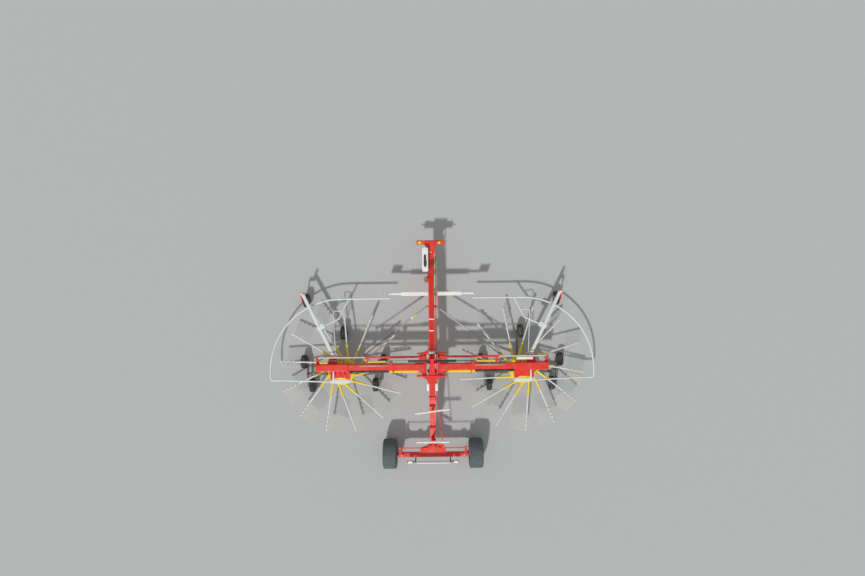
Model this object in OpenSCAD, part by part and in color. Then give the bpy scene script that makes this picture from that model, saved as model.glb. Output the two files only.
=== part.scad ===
// Twin rotor hay rake that gathers one swath between its rotors, parked with its rotors lowered.
// The frame is X to the right, Y forward and Z up, with the origin on the ground.
// Side pieces are drawn for the right side and mirrored for the left.

/* [Layout] */
// Distance from the middle to each rotor's centre
rotor_x = 2600; // [2450:10:2700]
// Rotor centre along the machine
rotor_y = -400; // [-450:10:-350]
// Road axle along the machine
axle_y = -2850; // [-2950:10:-2700]
// Hitch pivot along the machine
hitch_y = 2970; // [2900:10:3050]

/* [Road wheels] */
// Road wheel radius
road_r = 430; // [400:5:450]
// Road tyre width
road_w = 400; // [300:10:420]
// Distance from the middle to a road wheel's centre
road_x = 1245; // [1220:5:1300]
// Distance from the middle to a kingpin
kingpin_x = 900; // [850:5:920]

/* [Main beams] */
// Width of the drawbar and of the rear beam
beam_w = 160; // [120:5:160]
// Height of the drawbar and of the rear beam
beam_h = 160; // [140:5:180]
// Middle height of the main beam
beam_z = 980; // [960:5:1000]

/* [Booms] */
// Distance from the middle to a boom's hinge
fold_x = 200; // [195:1:210]
// Side of the square boom tube
boom_s = 160; // [140:5:165]
// Outer side of the sleeve that slides on the boom
sleeve_s = 200; // [195:1:220]
// Running gap between the boom and the sleeve's wear lip
lip_gap = 0.4; // [0.3:0.1:0.8]
// Middle of the boom along the machine
boom_y = -260; // [-265:1:-255]
// Height of the drive line
drive_z = 850; // [840:2:860]

/* [Rotors] */
// Number of tine arms on a rotor
arm_count = 13; // [9:1:13]
// Reach of a tine arm from the rotor's centre line
arm_reach = 1820; // [1740:5:1840]
// Distance from the rotor's centre to each arm's own line
arm_offset = 210; // [150:5:230]
// Tilt of the arms down towards their tips
arm_droop = 5; // [3:0.5:6]
// Height of the arms' roots
arm_z = 625; // [615:1:640]
// Radius of a galvanised arm tube
arm_r = 21; // [16:1:24]
// Radius of a yellow bearing tube
bearing_r = 30; // [26:1:34]
// End of the yellow bearing tube along the arm
bearing_end = 760; // [650:10:850]
// Radius of the rotor's hub
hub_r = 400; // [360:5:410]
// Tine prongs on an arm
prong_count = 8; // [6:1:8]
// Spacing of the prongs
prong_step = 64; // [56:1:66]
// Length of a prong
prong_len = 460; // [440:5:470]
// Radius of a prong
prong_r = 5; // [4:0.5:6]

/* [Rotor running gear] */
// Radius of a small rubber wheel
small_r = 200; // [180:5:205]
// Width of a small rubber wheel
small_w = 150; // [120:5:155]
// Radius of the rotor's standing axle
post_r = 45; // [35:1:50]

/* [Guards] */
// Radius of the guard's bow around the rotor
guard_reach = 2060; // [2000:5:2080]
// Radius of the guard tube
guard_r = 24; // [18:1:26]
// Height of the guard
guard_z = 560; // [540:5:600]

/* [Hidden] */
SIDES = ["left", "right"];
SIDE_PARTS = ["boom", "boom_drive", "lift_barrel", "lift_rod", "strut_tube", "strut_rod",
    "carriage", "rotor_gearbox", "guard", "rotor_frame", "rotor_hub", "tine_arms",
    "feeler_fork", "feeler_wheel", "rotor_wheel_1", "rotor_wheel_2", "rotor_wheel_3",
    "rotor_wheel_4", "rotor_wheel_5", "tie_rod", "knuckle", "road_rim", "road_tyre"];
$fn = 48;

red = [0.78, 0.09, 0.07];
yellow = [0.95, 0.78, 0.08];
zinc = [0.78, 0.8, 0.8];
white = [0.92, 0.92, 0.9];
black = [0.07, 0.07, 0.08];
steel = [0.6, 0.61, 0.62];
cast = [0.4, 0.41, 0.42];

// Gaps: seat is a face that lies on its support, fit a shaft in its bore
seat = 0.3;
fit = 0.05;

// Ends of the centre frame's beam, where the drawbar and the rear beam are bolted on
front_join = 230;
rear_join = -1100;

beam_top = beam_z + beam_h / 2;
beam_low = beam_z - beam_h / 2;

// Rotor arm directions measured on the right side, first arm of each side's rotor
phase = [["left", 2.0], ["right", 17.05]];
arm_step = 360 / arm_count;
prong_first = arm_reach - 25 - (prong_count - 1) * prong_step;

// Double tines: coil behind and under the arm, knee of the prongs and lean of their tips
coil_r = 15;
coil_at = [-28, -12];
knee_at = 230;
tip_lean = 55;

// Small wheels under a rotor: offset from the rotor's centre, and side of the stub axle
beam_dx = 1045;
wheel_in = beam_dx - 45 - small_w / 2;
wheel_out = beam_dx + 45 + small_w / 2;
small_wheels = [[wheel_out, 220, -1], [wheel_in, -480, 1], [-wheel_in, -480, -1],
    [-wheel_out, 220, 1], [0, 1060, -1]];

// Lift cylinder: base on the mast, rod's eye on the boom, and how they lie at rest
lift_y = -80;
lift_base = [110, 1250];
lift_eye = [1150, 1120];
lift_len = norm(lift_eye - lift_base);
lift_tilt = atan2(lift_eye[1] - lift_base[1], lift_eye[0] - lift_base[0]);

// Steadying strut: ball on the drawbar and eye under the boom
strut_front = [150, 1420, 600];
ball_r = 28;
ball_in = strut_front[0] - ball_r - seat;
strut_eye = [1900, 80, 860];

// Feeler wheel bar: root on the carriage, tip ahead of the rotor
bar_root = [2810, 60, 815];
bar_tip = [3680, 1810, 700];
trail = 190;

// Steering: bell crank on the rear beam and the pins of its linkage
crank_y = -2420;
crank_z = 735;
tie_y = -2620;
// Places of the arm racks: middle along the machine, half length and turn of the bar
racks = [[-1480, 490, 7], [-2330, 460, 0]];
// Underside of the tie rods' eyes, which hang under the bell crank
tie_z = crank_z - 10 - 28 - seat;
rod_x = 125;
rod_z = 945;
lever_end = [300, -2580];
// Cross beam of the headstock and the arms that carry the guard's rear bar
cross_y = hitch_y + 280;
shelf_z = 925;
arm_pin = [950, tie_y];

hinge_front = 95;
hinge_rear = -495;
jack_at = [-beam_w / 2 - 48, 2200];

module on_side(s) {
    if (s == "left") mirror([1, 0, 0]) children();
    else children();
}

// Box by its lowest and highest corner
module block(lo, hi) {
    translate(lo) cube(hi - lo);
}

// Places its children at a, with their Z axis pointing at b
module along(a, b) {
    d = b - a;
    translate(a) rotate([0, acos(d[2] / norm(d)), atan2(d[1], d[0])]) children();
}

// Straight bar of round or, with few sides, square section between two points
module bar(a, b, r, sides = 32) {
    along(a, b) cylinder(h = norm(b - a), r = r, $fn = sides);
}

module rod_y(x, z, r, y0, y1) {
    translate([x, y0, z]) rotate([-90, 0, 0]) cylinder(h = y1 - y0, r = r);
}

module rod_x(y, z, r, x0, x1) {
    translate([x0, y, z]) rotate([0, 90, 0]) cylinder(h = x1 - x0, r = r);
}

// Outline whose corners are rounded: points are [along, up, length taken off both edges]
function soft(p, n = 4) = [for (i = [0 : len(p) - 1]) let (k = len(p),
    b = [p[i][0], p[i][1]],
    a = [p[(i + k - 1) % k][0], p[(i + k - 1) % k][1]],
    c = [p[(i + 1) % k][0], p[(i + 1) % k][1]],
    s = b + (a - b) / norm(a - b) * p[i][2],
    e = b + (c - b) / norm(c - b) * p[i][2])
    each p[i][2] == 0 ? [b] : [for (j = [0 : n]) let (t = j / n)
        s * (1 - t) * (1 - t) + b * 2 * t * (1 - t) + e * t * t]];

// Section of a rolled square tube
function section(lo, hi, r = 14) = soft([[lo[0], lo[1], r], [hi[0], lo[1], r], [hi[0], hi[1], r],
    [lo[0], hi[1], r]], 3);

module tube_x(x0, x1, y, z, w, h, r = 14) {
    translate([x0, 0, 0]) rotate([90, 0, 90]) linear_extrude(x1 - x0)
        polygon(section([y - w / 2, z - h / 2], [y + w / 2, z + h / 2], r));
}

module tube_y(y0, y1, x, z, w, h, r = 14) {
    translate([0, y1, 0]) rotate([90, 0, 0]) linear_extrude(y1 - y0)
        polygon(section([x - w / 2, z - h / 2], [x + w / 2, z + h / 2], r));
}

// Flat plate of points (across, along) between two heights
module flat(points, z0, z1) {
    translate([0, 0, z0]) linear_extrude(z1 - z0) polygon(points);
}

// Upright plate of points (across, up) that faces along the machine
module cheek(points, y0, y1) {
    translate([0, y1, 0]) rotate([90, 0, 0]) linear_extrude(y1 - y0) polygon(points);
}

// Side outline of points (along, up), as thick as w across the machine
module side_plate(points, w, x = 0) {
    translate([x + w / 2, 0, 0]) rotate([90, 0, -90]) mirror([1, 0, 0])
        linear_extrude(w) polygon(points);
}

module drawbar() color(red) {
    difference() {
        union() {
            side_plate(soft([[front_join, beam_low, 0], [1900, beam_low, 260],
                [hitch_y - 190, 720, 75], [hitch_y - 20, 720, 0], [hitch_y - 20, 900, 0],
                [hitch_y - 190, 900, 75], [1950, beam_top, 260], [front_join, beam_top, 0]], 8), beam_w);
            translate([0, hitch_y, 720]) cylinder(h = 180, r = 60);
            // Doubling plates on the sides of the nose
            for (s = [-1, 1]) side_plate(soft([[2300, 850, 40], [2860, 730, 30], [2860, 890, 30],
                [2330, 960, 40]]), 10, s * (beam_w / 2 + 4));
        }
        translate([0, hitch_y, 700]) cylinder(h = 220, r = 30 + fit);
    }
    // Parking jack's tube, its collar and its bracket
    difference() {
        union() {
            translate([jack_at[0], jack_at[1], 450]) cylinder(h = 660, r = 38);
            translate([jack_at[0], jack_at[1], 1080]) cylinder(h = 40, r = 44);
            translate([jack_at[0], 0, 0]) cheek(soft([[0, 740, 0], [60, 780, 20], [60, 990, 20],
                [0, 1040, 0]]), jack_at[1] - 60, jack_at[1] - 45);
            translate([jack_at[0], 0, 0]) cheek(soft([[0, 740, 0], [60, 780, 20], [60, 990, 20],
                [0, 1040, 0]]), jack_at[1] + 45, jack_at[1] + 60);
            block([jack_at[0] - 20, jack_at[1] - 60, 760], [-beam_w / 2 + 5, jack_at[1] + 60, 1000]);
        }
        translate([jack_at[0], jack_at[1], 440]) cylinder(h = 650, r = 30 + seat);
    }
    // Bracket of the steadying struts under the beam
    block([-ball_in, 1385, 588], [ball_in, 1455, 612]);
    for (s = [-1, 1]) side_plate(soft([[1385, 600, 0], [1455, 600, 0], [1455, 700, 40],
        [1520, beam_low + 5, 0], [1320, beam_low + 5, 0], [1385, 700, 40]]), 16, s * 68);
    // Clamp of the warning board carrier
    block([-100, 1740, 740], [100, 1840, 760]);
    for (s = [-1, 1]) block([s * 60 - 8, 1750, 755], [s * 60 + 8, 1830, beam_low + 5]);
    // Hanger of the input shaft
    cheek(soft([[-40, 560, 0], [40, 560, 0], [40, 680, 40], [70, 790, 0], [-70, 790, 0],
        [-40, 680, 40]]), 2560, 2640);
    // Bands around the beam and the bolting flange at its rear end
    for (y = [640, 960]) tube_y(y, y + 30, 0, beam_z, beam_w + 24, beam_h + 24);
    tube_y(front_join, front_join + 22, 0, beam_z, beam_w + 40, beam_h + 60, 24);
}

module centre_frame() color(red) {
    difference() {
        union() {
            tube_y(rear_join, front_join, 0, beam_z, beam_w, beam_h);
            tube_y(front_join - 22, front_join, 0, beam_z, beam_w + 40, beam_h + 60, 24);
            // Top and bottom plates, curved from the beam out to the boom hinges
            for (z = [beam_z - 100, beam_z + 82]) {
                flat(soft([[-430, hinge_front + 5, 0], [430, hinge_front + 5, 0],
                    [430, hinge_front + 25, 12], [180, hinge_front + 45, 100], [100, front_join, 0],
                    [-100, front_join, 0], [-180, hinge_front + 45, 100], [-430, hinge_front + 25, 12]]),
                    z, z + 18);
                flat(soft([[-430, hinge_rear - 5, 0], [430, hinge_rear - 5, 0],
                    [430, hinge_rear - 35, 20], [170, hinge_rear - 70, 110], [90, -740, 0],
                    [-90, -740, 0], [-170, hinge_rear - 70, 110], [-430, hinge_rear - 35, 20]]),
                    z, z + 18);
            }
            // Cheeks that the hinge pins run through
            for (y = [hinge_front + 5, hinge_rear - 25])
                cheek(soft([[-430, beam_z - 90, 0], [430, beam_z - 90, 0], [430, beam_z - 20, 30],
                    [290, beam_z + 90, 60], [-290, beam_z + 90, 60], [-430, beam_z - 20, 30]]), y, y + 20);
            for (s = [-1, 1]) {
                rod_y(s * fold_x, beam_z, 25, hinge_rear - 40, hinge_front + 40);
                rod_y(s * fold_x, beam_z, 40, hinge_front + 20, hinge_front + 34);
                rod_y(s * fold_x, beam_z, 40, hinge_rear - 34, hinge_rear - 20);
                rod_y(s * lift_base[0], lift_base[1], 15, -150, -10);
            }
            // Mast of the lift cylinders: two plates and a post between them
            for (y = [-145, -35]) difference() {
                cheek(soft([[-80, beam_top - 5, 0], [80, beam_top - 5, 0], [85, 1150, 40],
                    [150, 1210, 30], [150, 1300, 45], [-150, 1300, 45], [-150, 1210, 30],
                    [-85, 1150, 40]]), y, y + 20);
                rod_y(0, 1130, 28, y - 5, y + 25);
            }
            block([-55, -135, beam_top - 5], [55, -25, 1090]);
            block([-55, -135, 1180], [55, -25, 1285]);
        }
        // Slots that the steering rod runs through
        for (y = [[hinge_front, 240], [-760, hinge_rear]])
            block([rod_x - 35, y[0], rod_z - 30], [rod_x + 35, y[1], rod_z + 30]);
    }
}

module rear_frame() color(red) {
    side_plate(soft([[rear_join, beam_low, 0], [rear_join, beam_top, 0], [-1200, beam_top, 90],
        [-2330, 665, 260], [-2760, 640, 0], [-2760, 500, 0], [-2300, 520, 260],
        [-1180, beam_low, 70]], 6), beam_w);
    tube_y(rear_join - 22, rear_join, 0, beam_z, beam_w + 40, beam_h + 60, 24);
    // Side plates that stiffen the bend
    for (s = [-1, 1]) side_plate(soft([[-1130, 915, 10], [-1130, 1045, 10], [-1240, 1020, 60],
        [-1620, 870, 30], [-1600, 760, 30], [-1260, 890, 60]]), 10, s * (beam_w / 2 + 4));
    // Axle beam with its curved gusset plates and the bushes of the kingpins
    difference() {
        union() {
            tube_x(-kingpin_x, kingpin_x, axle_y, 540, 130, 130, 18);
            for (z = [468, 600]) flat(soft([[-365, axle_y + 40, 0], [365, axle_y + 40, 0],
                [365, -2665, 45], [140, -2620, 90], [80, -2500, 0], [-80, -2500, 0],
                [-140, -2620, 90], [-365, -2665, 45]]), z, z + 16);
            for (s = [-1, 1]) translate([s * kingpin_x, axle_y, 470]) cylinder(h = 140, r = 58);
        }
        for (s = [-1, 1]) translate([s * kingpin_x, axle_y, 455]) cylinder(h = 170, r = 25 + fit);
    }
    // Boss and pin of the bell crank, and posts of the arm racks
    translate([0, crank_y, 600]) cylinder(h = crank_z - 10 - 600, r = 45);
    translate([0, crank_y, 700]) cylinder(h = 70, r = 20);
    for (r = racks) cheek(soft([[-60, 640, 0], [60, 640, 0], [26, 860, 80], [26, 1150, 0],
        [-26, 1150, 0], [-26, 860, 80]]), r[0] - 8, r[0] + 8);
}

module arm_racks() color(white)
    for (r = racks) translate([0, r[0], 0]) rotate([0, 0, r[2]]) {
        // Each rack is a bar with notches for the tine arms that come off for the road
        half = r[1];
        count = 7;
        pitch = 2 * half / count;
        difference() {
            cheek(soft([[-half, 1150, 12], [half, 1150, 12], [half, 1232, 10], [-half, 1232, 10]]), -20, 20);
            for (i = [0 : count - 1])
                translate([-half + pitch * (i + 0.5), -30, 1232]) rotate([-90, 0, 0])
                    cylinder(h = 60, r = arm_r + 7);
        }
    }

module lamp_board() {
    color(black) rod_x(axle_y - 130, 800, 18, -740, 740);
    color(white) for (s = [-1, 1]) {
        cheek(soft([[s * 650 - 60, 730, 14], [s * 650 + 60, 730, 14], [s * 650 + 60, 870, 14],
            [s * 650 - 60, 870, 14]]), axle_y - 165, axle_y - 105);
    }
    color(black) for (s = [-1, 1]) {
        block([s * 500 - 15, axle_y - 140, 560], [s * 500 + 15, axle_y - 120, 800]);
        block([s * 500 - 15, axle_y - 140, 560], [s * 500 + 15, axle_y - 65, 580]);
    }
    color(white) cheek(soft([[-470, 730, 20], [470, 730, 20], [470, 870, 20], [-470, 870, 20]]),
        axle_y - 170, axle_y - 146);
}

module front_boards() color(white)
    for (s = [-1, 1]) {
        root = 68 + seat;
        tube_x(s < 0 ? -850 : root, s < 0 ? -root : 850, 1790, 795 + seat, 110, 70, 12);
        tube_x(s < 0 ? -1210 : 830, s < 0 ? -830 : 1210, 1790, 795, 50, 44, 8);
        cheek(soft([[s * 1300 - 141, 740, 20], [s * 1300 + 141, 740, 20], [s * 1300 + 141, 1022, 20],
            [s * 1300 - 141, 1022, 20]]), 1805, 1811);
        block([s * 1190 - 20, 1765, 790], [s * 1190 + 20, 1806, 830]);
    }

module toolbox() color(white)
    difference() {
        union() {
            flat(section([-240, 2418], [-beam_w / 2 - seat, 3072], 34), 960, 1084);
            flat(section([-245, 2410], [-beam_w / 2 - seat, 3080], 40), 1080, 1096);
            flat(section([-215, 2450], [-110, 3040], 40), 1090, 1104);
        }
        translate([-165, 2660, 1098]) linear_extrude(20) union() {
            translate([0, 0]) circle(r = 34);
            translate([0, 200]) circle(r = 34);
            translate([-34, 0]) square([68, 200]);
        }
    }

// Gearbox in the middle, shaft under the drawbar and the splined input
module drive_line() {
    color(cast) {
        side_plate(soft([[-500, 775, 40], [-300, 775, 40], [-300, beam_low, 0], [-500, beam_low, 0]]), 190);
        for (x = [-60, 0, 60]) side_plate(soft([[-516, 800, 20], [-284, 800, 20], [-284, 880, 20],
            [-516, 880, 20]]), 12, x);
        rod_x(rotor_y, drive_z, 45, -130, 130);
        rod_x(rotor_y, drive_z, 48, -112, 112);
        rod_y(0, 820, 50, -300, -240);
    }
    color(yellow) bar([0, -245, 820], [0, 2500, 560], 45);
    color(cast) side_plate(soft([[2470, 485, 20], [2640, 485, 8], [2640, 552, 0], [2620, 560, 0],
        [2490, 560, 0], [2470, 552, 0]]), 100);
    color(steel) rod_y(0, 520, 17.45, 2640, 2760);
}

module jack_leg() color(steel) {
    translate([jack_at[0], jack_at[1], 10]) cylinder(h = 710, r = 30);
    translate([jack_at[0], jack_at[1], 0]) cylinder(h = 12, r = 95);
}

module headstock() color(red) {
    // Cross beam with the end plates that carry the lower link pins
    tube_x(-400, 400, cross_y, 720, 120, 120, 16);
    for (s = [-1, 1]) {
        side_plate(soft([[cross_y - 75, 650, 35], [cross_y + 75, 650, 35], [cross_y + 70, 800, 30],
            [cross_y - 60, 830, 30]]), 18, s * 391);
        color(steel) rod_x(cross_y, 720, 14.3, s < 0 ? -500 : 390, s < 0 ? -390 : 500);
    }
    // Fork of the hitch pivot, spread out to the cross beam
    for (z = [[900 + seat, 926], [694, 720 - seat]]) flat(soft([[-62, hitch_y - 75, 50],
        [62, hitch_y - 75, 50], [80, hitch_y + 60, 60], [190, cross_y - 50, 30], [190, cross_y + 20, 20],
        [-190, cross_y + 20, 20], [-190, cross_y - 50, 30], [-80, hitch_y + 60, 60]]), z[0], z[1]);
    for (x = [-150, 150]) side_plate(soft([[cross_y - 58, 700, 0], [cross_y + 18, 700, 0],
        [cross_y + 18, 920, 0], [cross_y - 45, 920, 0], [cross_y - 80, 800, 50]]), 16, x);
    translate([0, hitch_y, 694]) cylinder(h = 240, r = 30);
    translate([0, hitch_y, 924]) cylinder(h = 12, r = 44);
    // Arm that pushes the steering rod
    flat(soft([[-20, hitch_y - 35, 0], [rod_x + 32, hitch_y - 28, 24], [rod_x + 32, hitch_y + 28, 24],
        [-20, hitch_y + 60, 0]]), 900 + seat, 926);
    // Clips that hold the hoses
    color(yellow) for (x = [-320, 220]) block([x - 50, cross_y - 45, 775], [x + 50, cross_y + 25, 830]);
}

module steer_rod() color(red) {
    eye_z = crank_z + 10 + seat;
    difference() {
        union() {
            bar([rod_x, hitch_y, rod_z], [rod_x, -1200, rod_z], 14);
            along([rod_x, -1200, rod_z], [rod_x, 0, rod_z]) sphere(r = 17);
            bar([rod_x, -1200, rod_z], [lever_end[0], lever_end[1], eye_z + 14], 14);
        }
        translate([0, lever_end[1] - 100, eye_z - 50]) cube([500, 200, 50]);
    }
    translate([rod_x, hitch_y, 926 + seat]) cylinder(h = 34, r = 24);
    translate([lever_end[0], lever_end[1], eye_z]) cylinder(h = 30, r = 26);
}

module bell_crank() color(red) {
    z0 = crank_z - 10;
    difference() {
        union() {
            translate([0, crank_y, z0]) cylinder(h = 20, r = 48);
            flat(soft([[-15, crank_y + 42, 0], [42, crank_y + 10, 0], [170, crank_y - 20, 90],
                [lever_end[0] + 8, lever_end[1] + 25, 0], [lever_end[0] - 12, lever_end[1] - 25, 0],
                [130, crank_y - 120, 60], [20, crank_y - 45, 0]]), z0, z0 + 20);
            translate([lever_end[0], lever_end[1], z0]) cylinder(h = 20, r = 30);
            flat(soft([[-98, tie_y - 30, 24], [98, tie_y - 30, 24], [98, tie_y + 28, 24],
                [40, tie_y + 70, 40], [40, crank_y, 0], [-40, crank_y, 0], [-40, tie_y + 70, 40],
                [-98, tie_y + 28, 24]]), z0, z0 + 20);
            for (s = [-1, 1]) translate([s * 70, tie_y, tie_z]) cylinder(h = z0 + 10 - tie_z, r = 12);
        }
        translate([0, crank_y, z0 - 5]) cylinder(h = 40, r = 20 + fit);
    }
}

module tie_rod() color(red) {
    difference() {
        union() {
            rod_x(tie_y, tie_z + 14, 13, 70, arm_pin[0]);
            translate([70, tie_y, tie_z]) cylinder(h = 28, r = 24);
            translate([arm_pin[0], tie_y, tie_z]) cylinder(h = 28, r = 24);
        }
        translate([70, tie_y, tie_z - 10]) cylinder(h = 50, r = 12 + fit);
    }
}

module knuckle() color(red) {
    top = 616 + seat;
    translate([kingpin_x, axle_y, 435]) cylinder(h = 215, r = 25);
    // Fork around the kingpin's bush
    for (z = [[top, top + 25], [440, 468 - seat]]) flat(soft([[kingpin_x - 55, axle_y - 50, 40],
        [kingpin_x + 95, axle_y - 50, 0], [kingpin_x + 95, axle_y + 50, 0],
        [kingpin_x - 55, axle_y + 50, 40]]), z[0], z[1]);
    block([kingpin_x + 68, axle_y - 50, 385], [kingpin_x + 95, axle_y + 50, top + 25]);
    rod_x(axle_y, road_r, 62, kingpin_x + 80, kingpin_x + 130);
    // Steering arm
    flat(soft([[kingpin_x - 30, axle_y, 0], [kingpin_x + 70, axle_y, 0], [arm_pin[0] + 32, tie_y - 20, 20],
        [arm_pin[0] + 26, tie_y + 30, 24], [arm_pin[0] - 30, tie_y + 30, 24],
        [kingpin_x + 10, axle_y + 90, 50]]), top, top + 25);
    translate([arm_pin[0], arm_pin[1], top]) cylinder(h = tie_z - seat - top, r = 14);
    rod_x(axle_y, road_r, 35, kingpin_x + 70, road_x + 60);
}

// Rim with a dished disc, and the tyre on it
module road_rim() color(white)
    translate([road_x, axle_y, road_r]) rotate([0, 90, 0]) difference() {
        union() {
            rotate_extrude() polygon([[0, -40], [110, -40], [150, 0], [205, 0], [205, -172],
                [228, -172], [228, -160 - seat], [214, -160 - seat], [214, 160 + seat],
                [228, 160 + seat], [228, 172], [205, 172], [205, 25], [140, 25], [100, 65],
                [0, 65]]);
        }
        translate([0, 0, -60]) cylinder(h = 180, r = 35 + fit);
        // Hand holes in the disc
        for (k = [0 : 7]) rotate([0, 0, k * 45]) translate([176, 0, -10]) cylinder(h = 50, r = 13);
    }

module road_tyre() color(black)
    translate([road_x, axle_y, road_r]) rotate([0, 90, 0]) rotate_extrude($fn = 96)
        polygon([[214 + seat, -160], [230, -160], [236, -178], [260, -road_w / 2 + 8], [330, -road_w / 2],
            [395, -road_w / 2 + 20], [road_r, -road_w / 2 + 60], [road_r, road_w / 2 - 60],
            [395, road_w / 2 - 20], [330, road_w / 2], [260, road_w / 2 - 8], [236, 178],
            [230, 160], [214 + seat, 160]]);

module boom() color(red) {
    end_x = 2800;
    difference() {
        union() {
            tube_x(fold_x + 30, end_x, boom_y, beam_z, boom_s, boom_s, 10);
            rod_y(fold_x, beam_z, 45, hinge_rear, hinge_front);
            // Plates that spread the boom out to both ends of its hinge
            for (z = [beam_z - 35, beam_z + 17]) flat(soft([[fold_x, hinge_rear + 4, 0],
                [fold_x + 70, hinge_rear + 4, 20], [fold_x + 130, boom_y - 130, 60],
                [fold_x + 320, boom_y - 70, 0], [fold_x + 320, boom_y + 70, 0],
                [fold_x + 190, boom_y + 140, 70], [fold_x + 150, hinge_front - 15, 30],
                [fold_x, hinge_front - 15, 0]]), z, z + 18);
            for (y = [hinge_rear + 4, hinge_front - 33])
                block([fold_x, y, beam_z - 30], [fold_x + 60, y + 18, beam_z + 30]);
        }
        rod_y(fold_x, beam_z, 25 + fit, hinge_rear - 5, hinge_front + 5);
    }
    // Barrel of the cylinder that slides the rotor in and out
    difference() {
        union() {
            rod_x(20, 1010, 30, fold_x + 100, 1880);
            rod_x(20, 1010, 36, 1840, 1885);
            block([fold_x + 60, -10, beam_z - 30], [fold_x + 140, 50, 1010]);
            block([1800, boom_y + boom_s / 2 - 5, 985], [1840, 30, 1035]);
        }
        rod_x(20, 1010, 20, fold_x + 160, 1890);
    }
    // Lug beside the lift rod's eye
    block([lift_eye[0] - 40, boom_y, beam_z + boom_s / 2 - 5],
        [lift_eye[0] + 40, lift_y - 20 - seat, beam_z + boom_s / 2 + 15]);
    cheek(soft([[lift_eye[0] - 70, beam_z + boom_s / 2 - 5, 0], [lift_eye[0] + 70, beam_z + boom_s / 2 - 5, 0],
        [lift_eye[0] + 38, lift_eye[1] + 42, 30], [lift_eye[0] - 38, lift_eye[1] + 42, 30]]),
        lift_y - 45, lift_y - 20 - seat);
    // Lug outboard of the strut's eye
    block([strut_eye[0] + 26 + seat, boom_y, 900], [strut_eye[0] + 46, strut_eye[1] + 30, 925]);
    side_plate(soft([[strut_eye[1] - 30, 830, 25], [strut_eye[1] + 30, 830, 25],
        [strut_eye[1] + 30, 925, 0], [boom_y + 60, 925, 0], [boom_y + 60, 902, 0],
        [strut_eye[1] - 60, 895, 40]]), 20 - seat, strut_eye[0] + 36 + seat / 2);
    // Hangers of the drive shaft's guard
    for (x = [340, 1100]) difference() {
        side_plate(soft([[rotor_y - 65, drive_z - 60, 40], [rotor_y + 65, drive_z - 60, 40],
            [rotor_y + 90, beam_z - 30, 0], [rotor_y + 90, beam_z + 20, 0], [rotor_y - 40, beam_z + 20, 20],
            [rotor_y - 65, drive_z + 60, 30]]), 12, x + 6);
        rod_x(rotor_y, drive_z, 45 + fit, x - 5, x + 20);
    }
}

module boom_drive() color(yellow)
    difference() {
        rod_x(rotor_y, drive_z, 45, fold_x + 60, 1215);
        rod_x(rotor_y, drive_z, 40, fold_x + 50, 1225);
    }

module lift_barrel() color(black)
    translate([lift_base[0], lift_y, lift_base[1]]) rotate([0, 90 - lift_tilt, 0]) difference() {
        union() {
            translate([0, 0, 20]) cylinder(h = 540, r = 35);
            rotate([90, 0, 0]) translate([0, 0, -40]) cylinder(h = 80, r = 34);
        }
        rotate([90, 0, 0]) translate([0, 0, -50]) cylinder(h = 100, r = 15 + fit);
        translate([0, 0, 60]) cylinder(h = 480, r = 28);
        translate([0, 0, 60]) cylinder(h = 600, r = 18 + fit);
    }

module lift_rod() color(steel)
    translate([lift_base[0], lift_y, lift_base[1]]) rotate([0, 90 - lift_tilt, 0]) {
        translate([0, 0, 475]) cylinder(h = lift_len - 475, r = 18);
        translate([0, 0, lift_len]) rotate([90, 0, 0]) translate([0, 0, -20])
            cylinder(h = 40, r = 34);
    }

module strut_tube() color(black)
    along(strut_front, strut_eye) {
        sphere(r = ball_r);
        difference() {
            cylinder(h = 1150, r = 22);
            translate([0, 0, 60]) cylinder(h = 1200, r = 15 + fit);
        }
    }

module strut_rod() color(steel)
    along(strut_front, strut_eye) {
        reach = norm(strut_eye - strut_front);
        translate([0, 0, 500]) cylinder(h = reach - 500, r = 15);
        translate([0, 0, reach]) sphere(r = 26);
    }

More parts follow.
